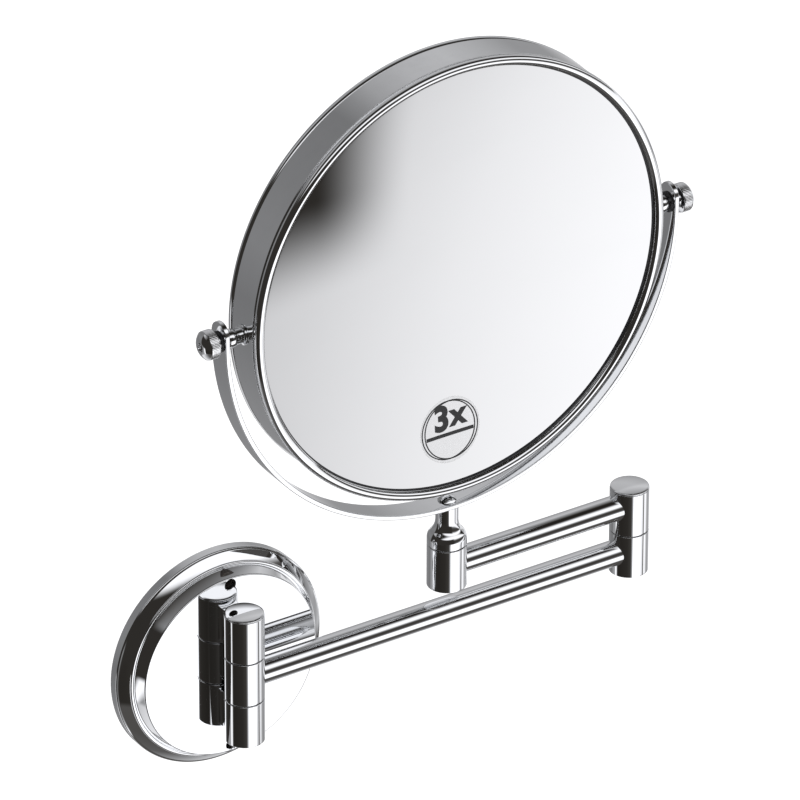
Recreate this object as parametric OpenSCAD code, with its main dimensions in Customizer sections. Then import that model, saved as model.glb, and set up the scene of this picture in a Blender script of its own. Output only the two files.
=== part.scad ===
// Extendable shaving mirror: round wall plate, double folding arm, yoke and a
// two-sided round mirror. Millimetres, +Z up. The origin is the centre of the
// wall plate's back face; the wall is the plane y = 0 and the mirror hangs in
// front of it, towards -Y. Drawn folded, with both arms parallel to the wall.

/* [Wall plate] */
// Outer diameter of the wall plate
plate_d = 106; // [100:1:130]
// Height of the polished centre disc above the wall
plate_h = 15; // [13:0.5:17]
// Width of the stepped rim round the polished centre disc
step_w = 8.5; // [7:0.1:12]
// Height of the plate's outer side band
rim_h = 4.8; // [3:0.1:6]
// Width of the raised bead between rim and disc
bead_w = 2; // [1.6:0.1:2.4]
// Thickness of the plate's casting
plate_wall = 2.4; // [1.6:0.1:3]
// Distance from each wall screw hole's centre to the disc's edge
hole_inset = 3.5; // [3.2:0.1:8]
// Diameter of the wall screw holes
hole_d = 5.2; // [4.2:0.1:6]
// Diameter of the pillars behind the screw holes
pillar_d = 10.4; // [8:0.2:12]

/* [Hinge posts] */
// Gap between the wall plate's disc and the wall post
post_gap = 2.2; // [1:0.1:12]
// Diameter of the hinge posts
post_d = 18; // [16:0.5:18.5]
// Height of one post segment
segment_h = 21; // [20:0.5:26]
// Thickness of the washers between segments
washer_t = 0.4; // [0.2:0.1:0.8]
// How far a washer's edge lies inside the post
washer_inset = 0.7; // [0.3:0.1:1.5]
// Height of a post's top cap
cap_h = 1.3; // [0.8:0.1:2.5]
// Width of the blocks that hold the wall post off the plate
boss_w = 9; // [8:0.5:15]
// Height of those blocks
boss_h = 18; // [10:0.5:20]
// Free height left in the recesses that hide bolt heads and nuts
recess_room = 0.1; // [0.05:0.05:1]
// Thickness of the plugs that close the recesses
plug_t = 1.7; // [1:0.1:2.2]

/* [Fasteners] */
// Diameter of hinge bolts, studs and machine screws
bolt_d = 5; // [4:0.5:6]
// Diameter of a hinge bolt's head
bolt_head_d = 8.5; // [7:0.1:10.2]
// Height of a hinge bolt's head
bolt_head_h = 5; // [3:0.1:6]
// Size of the hexagon nuts across flats
nut_flats = 8; // [7:0.1:9.6]
// Height of the nuts
nut_h = 4; // [3:0.1:4.8]
// Thickness of the spring washers
spring_t = 1.2; // [0.8:0.1:1.4]
// Wall thickness of the hinge bushes
bush_wall = 0.85; // [0.6:0.05:1]
// Running clearance round a shaft, on the radius
run_gap = 0.06; // [0.03:0.01:0.1]
// Assembly clearance between fixed pieces, on the radius
fit_gap = 0.05; // [0.02:0.01:0.1]

/* [Arms] */
// Lower arm, from the wall post's axis to the elbow's axis
lower_arm = 204; // [170:1:260]
// Upper arm, from the elbow's axis to the swivel's axis
upper_arm = 98; // [80:1:120]
// Height of the upper arm's axis above the middle of its elbow segment
arm_lift = 1.8; // [0:0.1:3]
// Outer diameter of the arm tubes
tube_d = 12; // [10:0.5:12.5]
// Wall thickness of the arm tubes
tube_wall = 1.2; // [0.8:0.1:1.6]
// Wall between a hinge's recess and the end of its arm tube
socket_wall = 0.8; // [0.4:0.1:1.4]
// Height of the swivel hub's middle above the upper arm's axis
swivel_lift = 0.5; // [0:0.1:2]

/* [Swivel neck] */
// Height of the neck, from its foot to the underside of the yoke
neck_h = 19.5; // [16:0.5:40]
// Height of the straight part at the foot of the neck
neck_foot_h = 4.1; // [2:0.1:5]
// Height over which the shoulder draws in to the neck
shoulder_h = 8; // [5:0.5:9]
// Diameter of the neck under the yoke
neck_d = 10.4; // [9:0.2:12]
// Length of thread that the yoke screw has in the neck
neck_thread = 7; // [5:0.5:9]

/* [Yoke] */
// Gap between the mirror's casing and the inside of the yoke
yoke_gap = 9.9; // [8:0.1:14]
// Thickness of the yoke's band
yoke_t = 2.2; // [1.5:0.1:3]
// Width of the yoke's band
yoke_w = 12; // [11:0.5:14]
// How far the yoke's straight ends run on past the knobs' axis
yoke_tip = 3.4; // [0.5:0.1:8]
// Diameter of the yoke screw's domed head
yoke_screw_head_d = 8.6; // [7.5:0.1:9.5]
// Height of the yoke screw's domed head
yoke_screw_head_h = 2.6; // [1.8:0.1:3]

/* [Pivots] */
// Thickness of the plastic friction washers at the pivots
pivot_washer_t = 0.8; // [0.4:0.1:1.2]
// Diameter of the friction washers at the pivots
pivot_washer_d = 9.6; // [8:0.2:11]
// Diameter of the knobs
knob_d = 13.4; // [12:0.2:16]
// Length of the knobs' grip band
knob_band = 4.6; // [3:0.1:6]
// Length of the collar under each knob
knob_collar = 1.8; // [1:0.1:3]
// Height of the conical outer face of each knob
knob_cone = 2.2; // [1:0.1:3]
// Largest diameter of the turned spacers inside the yoke
spacer_d = 9.4; // [8:0.2:11]
// Length of thread that each stud has inside the mirror
stud_grip = 10; // [7:0.5:12]

/* [Mirror] */
// Visible diameter of each mirror glass
glass_d = 203.2; // [180:0.2:210]
// Overall thickness of the mirror, front to back
mirror_t = 25; // [24:0.5:30]
// Diameter of the round bead of each bezel
bead_d = 4.6; // [4.4:0.2:5]
// Thickness of the casing's sheet
casing_t = 1.2; // [0.8:0.1:1.5]
// How far the casing lies inside the bezels' outer edge
casing_inset = 0.3; // [0.1:0.1:0.6]
// Thickness of the magnifying glass
lens_t = 2; // [1.6:0.1:2.2]
// Gap between the middle of the magnifying glass and the board behind it
lens_gap = 4; // [2:0.1:9]
// Thickness of the plain glass
plain_t = 3; // [2:0.1:3.4]
// Thickness of the board behind the plain glass
board_t = 3; // [2:0.1:3.4]
// Radial width of the frame inside the casing
core_w = 16; // [14:0.5:20]
// Diameter of the round label on the magnifying glass
label_d = 31.2; // [20:0.2:36]
// Distance from the label's edge to the edge of the visible glass
label_edge = 10; // [6:0.5:40]
// Distance of the label to the left of the middle
label_side = 3; // [0:0.5:6]
// Thickness of the label
label_t = 0.12; // [0.1:0.01:0.2]

/* [Hidden] */

$fn = 96;
eps = 0.01;

CHROME = "#d9dcdf";
STEEL = "#b9bcbf";
POLYMER = "#f0efe9";
DARK_POLYMER = "#2b2b2d";
BRASS = "#c9a85c";
GLASS = "#e9edf0";
LABEL = "#fafafa";

// Radii and places on the wall plate
plate_r = plate_d / 2;
disc_r = plate_r - step_w;
hole_place = disc_r - hole_inset;
bead_r = disc_r + 2.7;
bead_h = plate_h - 5.8;
rim_edge = 0.8;
hollow_h = plate_h - plate_wall;

// Radii shared by the hinges
bolt_r = bolt_d / 2;
thread_bore_r = bolt_r + fit_gap;
running_bore_r = bolt_r + run_gap;
bush_r = running_bore_r + bush_wall;
bush_bore_r = bush_r + fit_gap;
post_r = post_d / 2;
nut_corner_r = nut_flats / 2 / cos(30);
recess_r = max(nut_corner_r, bolt_head_d / 2) + 0.18;
recess_depth = max(bolt_head_h, spring_t + nut_h) + plug_t + recess_room;
plug_r = recess_r - fit_gap;
spring_r = recess_r - 0.2;
tube_r = tube_d / 2;
socket_r = tube_r + 0.02;
socket_floor = recess_r + socket_wall;
post_standoff = plate_h + post_gap + post_r;

// Heights of the segments, from the lower arm's axis at z = 0
hub_top = segment_h / 2;
upper_foot = hub_top + washer_t;
upper_top = upper_foot + segment_h;
upper_z = upper_foot + segment_h / 2 + arm_lift;
swivel_foot = upper_z + swivel_lift - segment_h / 2;
swivel_top = swivel_foot + segment_h;
neck_foot = swivel_top + washer_t;

// Places along X
elbow_x = lower_arm;
swivel_x = lower_arm - upper_arm;

// The wall post's fixing screws
fixing_z = upper_foot + segment_h / 2;
fixing_head_h = 3;
fixing_tip = post_standoff - running_bore_r - 1.1;

// The mirror's round sizes, measured from its own centre
half_t = mirror_t / 2;
bead_pipe_r = bead_d / 2;
glass_seat = half_t - bead_d * 0.63;
bead_centre_r = glass_d / 2 + bead_pipe_r - 0.1;
bezel_r = bead_centre_r + bead_pipe_r;
casing_r = bezel_r - casing_inset;
casing_bore_r = casing_r - casing_t;
skirt_r = casing_bore_r - fit_gap;
skirt_t = 1;
glass_r = skirt_r - skirt_t - 0.3;
bead_foot = half_t - bead_d * 0.93;
spigot_r = running_bore_r + 0.94;
skirt_foot = bead_foot - 0.68 * (bead_foot - spigot_r);
core_r = skirt_r - skirt_t - 0.1;
core_back = glass_seat - plain_t - 0.1;
dish = glass_seat - lens_t + core_back - board_t - lens_gap;
core_bore_r = core_r - core_w;
core_lip_w = 2.4;
core_front = glass_seat - lens_t + lens_sag(core_r - core_lip_w);
core_step = core_front + lens_sag(core_bore_r) - 0.05;
label_drop = glass_d / 2 - label_edge - label_d / 2;

// The yoke and what is on the pivot's axis, measured from the mirror's centre
yoke_in = casing_r + yoke_gap;
yoke_out = yoke_in + yoke_t;
neck_top = neck_foot + neck_h;
pivot_z = neck_top + yoke_out;
neck_r = neck_d / 2;
spotface = 0.4;
washer_out = yoke_out + pivot_washer_t;
knob_foot = washer_out + fit_gap;
band_foot = knob_foot + knob_collar;
band_top = band_foot + knob_band;
knob_top = band_top + knob_cone;
knob_bore = band_top - 1.2;
insert_out = casing_bore_r - 1.6;
insert_r = thread_bore_r + 1.6;
spacer_foot = casing_r + fit_gap;
spacer_end = yoke_in - pivot_washer_t - fit_gap;

// ---- outlines -------------------------------------------------------------

// Points of an arc about [cx, cy], from angle a0 to angle a1
function arc(cx, cy, r, a0, a1, n = 8) =
    [for (i = [0:n]) let (a = a0 + (a1 - a0) * i / n) [cx + r * cos(a), cy + r * sin(a)]];

// Points of a smooth curve from p to q that leans towards c
function curve(p, c, q, n = 8) =
    [for (i = [0:n]) let (t = i / n) (1 - t) * (1 - t) * p + 2 * t * (1 - t) * c + t * t * q];

// Depth of the magnifying glass's surface, from its edge, at radius r
function lens_sag(r) = -dish * (1 - pow(r / glass_r, 2));

// Points of the magnifying glass's front, from r0 to r1, moved by `lift`
function lens_line(r0, r1, lift, n = 16) =
    [for (i = [0:n]) let (r = r0 + (r1 - r0) * i / n) [r, glass_seat + lens_sag(r) + lift]];

// ---- places ---------------------------------------------------------------

module at_wall_post() translate([0, -post_standoff, 0]) children();
module at_elbow() translate([elbow_x, -post_standoff, 0]) children();
module at_swivel() translate([swivel_x, -post_standoff, 0]) children();
module at_mirror() translate([swivel_x, -post_standoff, pivot_z]) children();

// Turns +Z to -Y, out of the wall
module facing_out() rotate([90, 0, 0]) children();

// Turns +Z to +X, or to -X for side = -1
module along_x(side = 1) rotate([0, side * 90, 0]) children();

// ---- shapes used more than once -------------------------------------------

// A straight round bar or bore from z0 to z1
module bar(r, z0, z1) translate([0, 0, z0]) cylinder(r = r, h = z1 - z0);

// A flat ring from z0 to z1
module ring(r_out, r_in, z0, z1) difference() {
    bar(r_out, z0, z1);
    bar(r_in, z0 - 1, z1 + 1);
}

// A hexagon nut standing on z0
module nut(z0) difference() {
    translate([0, 0, z0]) cylinder(r = nut_corner_r, h = nut_h, $fn = 6);
    bar(thread_bore_r, z0 - 1, z0 + nut_h + 1);
}

// A cylinder-head bolt with its head's underside at z0 and its end at z1
module hinge_bolt(z0, z1) {
    bar(bolt_r, z0 - eps, z1);
    difference() {
        bar(bolt_head_d / 2, z0 - bolt_head_h, z0);
        translate([0, 0, z0 - bolt_head_h - 1]) cylinder(r = bolt_r * 0.8, h = bolt_head_h / 2 + 1, $fn = 6);
    }
}

// A round segment with a slightly broken edge at both ends
module segment(z0) {
    edge = 0.3;
    translate([0, 0, z0]) rotate_extrude()
        polygon([[0, 0], [post_r - edge, 0], [post_r, edge],
                 [post_r, segment_h - edge], [post_r - edge, segment_h], [0, segment_h]]);
}

// The socket that takes an arm tube, on the side that dir points to along X
module socket(dir, z) translate([0, 0, z]) along_x(dir) bar(socket_r, socket_floor, post_r + 1);

// A low cap with a rounded rim and a spigot for the recess below it
module cap(z0, dome) {
    edge = min(0.5, cap_h / 2);
    crown = post_r - 1.6;
    rim = concat([[0, 0], [post_r - 0.1, 0]],
                 arc(post_r - 0.1 - edge, cap_h - edge, edge, 0, 90, 6),
                 curve([crown, cap_h], [crown * 0.5, cap_h + dome], [0, cap_h + dome], 8));
    translate([0, 0, z0]) rotate_extrude() polygon(rim);
    bar(plug_r, z0 - plug_t + 0.2, z0 + eps);
}

// A plug that closes the recess below z0 and stands up into it
module plug(z0) bar(plug_r, z0 + 0.05, z0 + plug_t);

// A tube along X between two hinge axes
module arm_tube(x0, x1, z) translate([0, -post_standoff, z]) along_x()
    ring(tube_r, tube_r - tube_wall, x0 + socket_floor + 0.1, x1 - socket_floor - 0.1);

// ---- wall plate and wall post ---------------------------------------------

module wall_plate() color(CHROME) {
    bead_pr = bead_w / 2;
    front = concat(
        [[0, 0], [0, plate_h], [disc_r - 0.6, plate_h]],
        arc(disc_r - 0.6, plate_h - 0.6, 0.6, 90, 10, 5),
        curve([disc_r + 0.1, plate_h - 1], [disc_r + 0.3, bead_h - 1.4], [bead_r - bead_pr - 0.1, bead_h - 1.9]),
        arc(bead_r, bead_h - bead_pr, bead_pr, 180, 0, 10),
        curve([bead_r + bead_pr, bead_h - bead_pr - 0.2], [bead_r + bead_pr + 0.6, rim_h + 0.8],
              [plate_r - rim_edge - 0.2, rim_h + 0.3]),
        arc(plate_r - rim_edge, rim_h - rim_edge + 0.2, rim_edge, 80, 0, 6),
        [[plate_r, 0]]);
    hollow = [
        [0, -1], [plate_r - plate_wall, -1], [plate_r - plate_wall, rim_h - plate_wall],
        [bead_r + 0.8, rim_h - 0.4], [disc_r + 0.3, rim_h], [disc_r - plate_wall, bead_h - 0.8],
        [disc_r - plate_wall, hollow_h], [0, hollow_h]];
    facing_out() difference() {
        rotate_extrude() polygon(front);
        difference() {
            rotate_extrude() polygon(hollow);
            for (s = [-1, 1]) translate([0, s * hole_place, 0]) bar(pillar_d / 2, -2, plate_h);
        }
        for (s = [-1, 1]) {
            translate([0, s * hole_place, 0]) bar(hole_d / 2, -1, plate_h + 1);
            translate([0, s * fixing_z, 0]) bar(thread_bore_r, hollow_h - 1, plate_h + 1);
        }
    }
}

// One fixed segment of the wall post, with its block against the plate
module fixed_segment(side) color(CHROME) difference() {
    union() {
        at_wall_post() mirror([0, 0, side < 0 ? 1 : 0]) segment(upper_foot);
        translate([-boss_w / 2, -post_standoff, side * fixing_z - boss_h / 2])
            cube([boss_w, post_standoff - plate_h, boss_h]);
    }
    at_wall_post() mirror([0, 0, side < 0 ? 1 : 0]) {
        bar(thread_bore_r, upper_foot - 1, upper_top + 1);
        bar(recess_r, upper_top - recess_depth, upper_top + 1);
    }
    translate([0, 0, side * fixing_z]) facing_out() bar(thread_bore_r, plate_h - 1, fixing_tip + 0.5);
}

module wall_post_top() fixed_segment(1);
module wall_post_bottom() fixed_segment(-1);

module post_fixing_screws() color(STEEL) for (s = [-1, 1])
    translate([0, 0, s * fixing_z]) facing_out() {
        bar(bolt_r, hollow_h - eps, fixing_tip);
        bar(bolt_head_d / 2, hollow_h - fixing_head_h, hollow_h);
    }

module wall_hinge_bolt() color(STEEL) at_wall_post()
    hinge_bolt(-upper_top + recess_depth, upper_top - recess_depth + spring_t + nut_h);

module wall_friction_washers() color(DARK_POLYMER) at_wall_post() for (z = [-upper_foot, hub_top])
    ring(post_r - washer_inset, running_bore_r, z, z + washer_t);

module wall_spring_washer() color(STEEL) at_wall_post()
    ring(spring_r, running_bore_r, upper_top - recess_depth, upper_top - recess_depth + spring_t);

module wall_hinge_nut() color(STEEL) at_wall_post() nut(upper_top - recess_depth + spring_t);

module wall_post_cap() color(CHROME) at_wall_post() cap(upper_top, 0.15);

module wall_post_plug() color(CHROME) at_wall_post() plug(-upper_top);

// ---- lower arm ------------------------------------------------------------

module wall_hub() color(CHROME) at_wall_post() difference() {
    segment(-hub_top);
    bar(bush_bore_r, -hub_top - 1, hub_top + 1);
    socket(1, 0);
}

module wall_hub_bush() color(POLYMER) at_wall_post() ring(bush_r, running_bore_r, -hub_top, hub_top);

module lower_arm_tube() color(CHROME) arm_tube(0, elbow_x, 0);

module elbow_lower_hub() color(CHROME) at_elbow() difference() {
    segment(-hub_top);
    bar(thread_bore_r, -hub_top - 1, hub_top + 1);
    bar(recess_r, -hub_top - 1, -hub_top + recess_depth);
    socket(-1, 0);
}

module elbow_bolt() color(STEEL) at_elbow()
    hinge_bolt(-hub_top + recess_depth, upper_top - recess_depth + spring_t + nut_h);

module elbow_friction_washer() color(DARK_POLYMER) at_elbow()
    ring(post_r - washer_inset, running_bore_r, hub_top, upper_foot);

module elbow_plug() color(CHROME) at_elbow() plug(-hub_top);

// ---- upper arm ------------------------------------------------------------

module elbow_upper_hub() color(CHROME) at_elbow() difference() {
    segment(upper_foot);
    bar(bush_bore_r, upper_foot - 1, upper_top + 1);
    bar(recess_r, upper_top - recess_depth, upper_top + 1);
    socket(-1, upper_z);
}

module elbow_bush() color(POLYMER) at_elbow()
    ring(bush_r, running_bore_r, upper_foot, upper_top - recess_depth);

module elbow_spring_washer() color(STEEL) at_elbow()
    ring(spring_r, running_bore_r, upper_top - recess_depth, upper_top - recess_depth + spring_t);

module elbow_nut() color(STEEL) at_elbow() nut(upper_top - recess_depth + spring_t);

module elbow_cap() color(CHROME) at_elbow() cap(upper_top, 0.5);

module upper_arm_tube() color(CHROME) arm_tube(swivel_x, elbow_x, upper_z);

module swivel_hub() color(CHROME) at_swivel() difference() {
    segment(swivel_foot);
    bar(bush_bore_r, swivel_foot - 1, swivel_top + 1);
    bar(recess_r, swivel_foot - 1, swivel_foot + recess_depth);
    socket(1, upper_z);
}

module swivel_bush() color(POLYMER) at_swivel()
    ring(bush_r, running_bore_r, swivel_foot + recess_depth, swivel_top);

module swivel_plug() color(CHROME) at_swivel() plug(swivel_foot);

module swivel_friction_washer() color(DARK_POLYMER) at_swivel()
    ring(post_r - washer_inset, running_bore_r, swivel_top, neck_foot);

// ---- swivel neck and yoke -------------------------------------------------

module swivel_neck() color(CHROME) {
    shoulder = neck_foot + neck_foot_h;
    throat = shoulder + shoulder_h;
    waist = [neck_r + 0.9, shoulder + shoulder_h * 0.55];
    outline = concat(
        [[0, neck_foot], [post_r - 0.3, neck_foot], [post_r, neck_foot + 0.3]],
        arc(post_r - 0.6, shoulder - 0.6, 0.6, 0, 40, 4),
        curve([post_r - 0.6, shoulder + 0.4], [post_r - 2.2, waist[1] - 1.4], waist, 6),
        curve(waist, [neck_r, waist[1] + 1], [neck_r, throat], 6),
        [[neck_r, neck_top + 0.4], [0, neck_top + 0.4]]);
    difference() {
        at_swivel() rotate_extrude() polygon(outline);
        at_swivel() bar(thread_bore_r, neck_foot - 1, neck_top + 2);
        at_mirror() facing_out() bar(yoke_out + 0.02, -yoke_w, yoke_w);
    }
}

module swivel_stud() color(STEEL) at_swivel()
    bar(bolt_r, swivel_foot + recess_depth - spring_t - nut_h, neck_top - neck_thread - 1);

module swivel_spring_washer() color(STEEL) at_swivel()
    ring(spring_r, running_bore_r, swivel_foot + recess_depth - spring_t, swivel_foot + recess_depth);

module swivel_nut() color(STEEL) at_swivel() nut(swivel_foot + recess_depth - spring_t - nut_h);

module yoke() color(CHROME) at_mirror() difference() {
    union() {
        facing_out() difference() {
            bar(yoke_out, -yoke_w / 2, yoke_w / 2);
            bar(yoke_in, -yoke_w, yoke_w);
            translate([-yoke_out - 1, 0, -yoke_w]) cube([2 * yoke_out + 2, yoke_out + 1, 2 * yoke_w]);
        }
        for (side = [-1, 1], z = [0, yoke_tip])
            translate([0, 0, z]) along_x(side) bar(yoke_w / 2, yoke_in, yoke_out);
        for (x = [-yoke_out, yoke_in]) translate([x, -yoke_w / 2, 0]) cube([yoke_t, yoke_w, yoke_tip]);
    }
    for (side = [-1, 1]) along_x(side) {
        bar(running_bore_r, yoke_in - 1, yoke_out + 1);
        bar(pivot_washer_d / 2 + spotface, yoke_in - 2, yoke_in);
    }
    bar(thread_bore_r, -yoke_out - 1, -yoke_in + 1);
}

module yoke_screw() color(CHROME) at_mirror() {
    seat = -yoke_in + 0.1;
    bar(bolt_r, -yoke_out - neck_thread, seat + eps);
    translate([0, 0, seat]) rotate_extrude() polygon(concat(
        [[0, 0], [yoke_screw_head_d / 2, 0]],
        curve([yoke_screw_head_d / 2, 0.5], [yoke_screw_head_d / 2 - 0.3, yoke_screw_head_h],
              [0, yoke_screw_head_h], 10)));
}

// ---- pivots ---------------------------------------------------------------

module outer_washer(side) color(DARK_POLYMER) at_mirror() along_x(side)
    ring(pivot_washer_d / 2, running_bore_r, yoke_out, washer_out);

module inner_washer(side) color(DARK_POLYMER) at_mirror() along_x(side)
    ring(pivot_washer_d / 2, running_bore_r, yoke_in - pivot_washer_t, yoke_in);

module pivot_spacer(side) color(CHROME) at_mirror() along_x(side) {
    spacer_r = spacer_d / 2;
    ball_r = spacer_r - 0.5;
    waist_r = running_bore_r + (ball_r - running_bore_r) * 0.63;
    lean = acos(waist_r / ball_r);
    ball = spacer_end - ball_r * sin(lean) - 0.5;
    difference() {
        rotate_extrude() polygon(concat(
            [[0, insert_out + 0.3], [spigot_r - fit_gap, insert_out + 0.3],
             [spigot_r - fit_gap, spacer_foot], [spacer_r, spacer_foot],
             [spacer_r, spacer_foot + 0.8], [waist_r, spacer_foot + 1.3]],
            arc(0, ball, ball_r, -lean, lean, 12),
            [[waist_r, spacer_end], [0, spacer_end]]));
        bar(running_bore_r, insert_out - 1, spacer_end + 1);
    }
}

module pivot_insert(side) color(BRASS) at_mirror() along_x(side)
    ring(insert_r, thread_bore_r, insert_out - stud_grip, insert_out);

module knob(side) color(CHROME) at_mirror() along_x(side) {
    knob_r = knob_d / 2;
    collar_r = pivot_washer_d / 2 - 0.8;
    dimple_r = 2;
    difference() {
        rotate_extrude() polygon(concat(
            [[0, knob_foot], [collar_r, knob_foot], [collar_r, band_foot - 0.4], [knob_r - 0.5, band_foot]],
            arc(knob_r - 0.4, band_foot + 0.4, 0.4, -90, 0, 4),
            arc(knob_r - 0.4, band_top - 0.4, 0.4, 0, 70, 4),
            curve([knob_r - 0.6, band_top + 0.1], [dimple_r + 1.6, knob_top - 0.6], [dimple_r + 0.5, knob_top], 6),
            [[dimple_r, knob_top], [dimple_r - 0.6, band_top + 0.6], [0, band_top + 0.6]]));
        bar(thread_bore_r, knob_foot - 1, knob_bore);
    }
}

module knob_stud(side) color(STEEL) at_mirror() along_x(side)
    bar(bolt_r, insert_out - stud_grip, knob_bore - 0.1);

// ---- mirror ---------------------------------------------------------------

module casing() color(CHROME) at_mirror() difference() {
    facing_out() ring(casing_r, casing_bore_r, -bead_foot, bead_foot);
    for (side = [-1, 1]) along_x(side) bar(spigot_r, casing_bore_r - 2, casing_r + 1);
}

// A round bead that holds a glass, with a skirt inside the casing
module bezel() color(CHROME) {
    centre = half_t - bead_pipe_r;
    drop = centre - glass_seat;
    reach = asin(drop / bead_pipe_r);
    heel = asin((centre - bead_foot) / bead_pipe_r);
    rotate_extrude() polygon(concat(
        arc(bead_centre_r, centre, bead_pipe_r, -heel, 180 + reach, 32),
        [[skirt_r - skirt_t, glass_seat], [skirt_r - skirt_t, skirt_foot],
         [skirt_r, skirt_foot], [skirt_r, bead_foot]]));
}

module front_bezel() at_mirror() facing_out() bezel();
module rear_bezel() at_mirror() mirror([0, 1, 0]) facing_out() bezel();

module magnifying_glass() color(GLASS) at_mirror() facing_out() rotate_extrude()
    polygon(concat(lens_line(0, glass_r, -0.02), lens_line(glass_r, 0, -lens_t)));

module plain_glass() color(GLASS) at_mirror() mirror([0, 1, 0]) facing_out()
    bar(glass_r, glass_seat - plain_t, glass_seat - 0.02);

module backing_board() color(POLYMER) at_mirror() mirror([0, 1, 0]) facing_out()
    bar(core_bore_r - 0.3, core_back - board_t, core_back);

module core_frame() color(DARK_POLYMER) at_mirror() difference() {
    facing_out() rotate_extrude() polygon([
        [core_bore_r, -core_back], [core_r, -core_back], [core_r, core_front],
        [core_r - core_lip_w, core_front], [core_r - core_lip_w, core_step], [core_bore_r, core_step]]);
    for (side = [-1, 1]) along_x(side) bar(insert_r + fit_gap, core_bore_r - 2, core_r + 1);
}

module magnification_label() color(LABEL) at_mirror() facing_out() intersection() {
    rotate_extrude() polygon(concat(
        lens_line(label_drop - label_d, label_drop + label_d * 0.6, 0.02, 12),
        lens_line(label_drop + label_d * 0.6, label_drop - label_d, 0.02 + label_t, 12)));
    translate([-label_side, -label_drop, 0]) bar(label_d / 2, 0, half_t + 5);
}

// ---- what each node draws -------------------------------------------------

wall_plate();
wall_post_top();
wall_post_bottom();
post_fixing_screws();
wall_hinge_bolt();
wall_friction_washers();
wall_spring_washer();
wall_hinge_nut();
wall_post_cap();
wall_post_plug();
wall_hub();
wall_hub_bush();
lower_arm_tube();
elbow_lower_hub();
elbow_bolt();
elbow_friction_washer();
elbow_plug();
elbow_upper_hub();
elbow_bush();
elbow_spring_washer();
elbow_nut();
elbow_cap();
upper_arm_tube();
swivel_hub();
swivel_bush();
swivel_plug();
swivel_friction_washer();
swivel_neck();
swivel_stud();
swivel_spring_washer();
swivel_nut();
yoke();
yoke_screw();
outer_washer(-1);  // outer_washer_left
outer_washer(1);  // outer_washer_right
inner_washer(-1);  // inner_washer_left
inner_washer(1);  // inner_washer_right
pivot_spacer(-1);  // pivot_spacer_left
pivot_spacer(1);  // pivot_spacer_right
pivot_insert(-1);  // pivot_insert_left
pivot_insert(1);  // pivot_insert_right
knob(-1);  // knob_left
knob(1);  // knob_right
knob_stud(-1);  // knob_stud_left
knob_stud(1);  // knob_stud_right
casing();
front_bezel();
rear_bezel();
core_frame();
magnifying_glass();
plain_glass();
backing_board();
magnification_label();
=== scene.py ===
"""Looks of an extendable shaving mirror: wall bracket, folding arms, yoke and a two-sided head.

Sizes inside the classes are in millimetres; the meshes are made in metres.
"""

from __future__ import annotations

import logging
import math
from dataclasses import dataclass
from enum import Enum
from typing import Iterable, Sequence

import bmesh
import bpy
from mathutils import Matrix, Vector

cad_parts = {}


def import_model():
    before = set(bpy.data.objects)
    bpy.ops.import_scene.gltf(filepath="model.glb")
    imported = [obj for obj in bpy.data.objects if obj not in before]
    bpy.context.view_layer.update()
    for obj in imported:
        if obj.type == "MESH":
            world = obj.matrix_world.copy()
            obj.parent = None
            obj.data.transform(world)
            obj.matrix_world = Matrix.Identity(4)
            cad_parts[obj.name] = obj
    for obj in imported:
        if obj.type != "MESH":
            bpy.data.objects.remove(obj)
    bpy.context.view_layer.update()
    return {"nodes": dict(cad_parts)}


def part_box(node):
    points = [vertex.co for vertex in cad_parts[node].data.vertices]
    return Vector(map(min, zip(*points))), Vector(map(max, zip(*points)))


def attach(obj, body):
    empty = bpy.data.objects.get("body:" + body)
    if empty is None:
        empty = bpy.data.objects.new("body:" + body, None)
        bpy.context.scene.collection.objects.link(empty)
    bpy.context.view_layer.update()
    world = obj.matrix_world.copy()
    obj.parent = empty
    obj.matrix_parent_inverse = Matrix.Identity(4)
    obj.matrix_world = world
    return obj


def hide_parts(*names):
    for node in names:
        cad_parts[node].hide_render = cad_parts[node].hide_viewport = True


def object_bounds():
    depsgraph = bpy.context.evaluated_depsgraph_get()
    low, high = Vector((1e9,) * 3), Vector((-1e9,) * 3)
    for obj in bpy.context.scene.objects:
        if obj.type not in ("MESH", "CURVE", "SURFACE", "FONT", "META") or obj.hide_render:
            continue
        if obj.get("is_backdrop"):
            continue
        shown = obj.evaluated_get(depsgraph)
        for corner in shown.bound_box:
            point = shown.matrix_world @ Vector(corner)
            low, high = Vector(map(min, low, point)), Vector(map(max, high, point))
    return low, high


log = logging.getLogger("shaving_mirror")

MM = 0.001
Point = tuple[float, float]
Colour = tuple[float, float, float]


# ---- shader maths -----------------------------------------------------------


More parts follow.
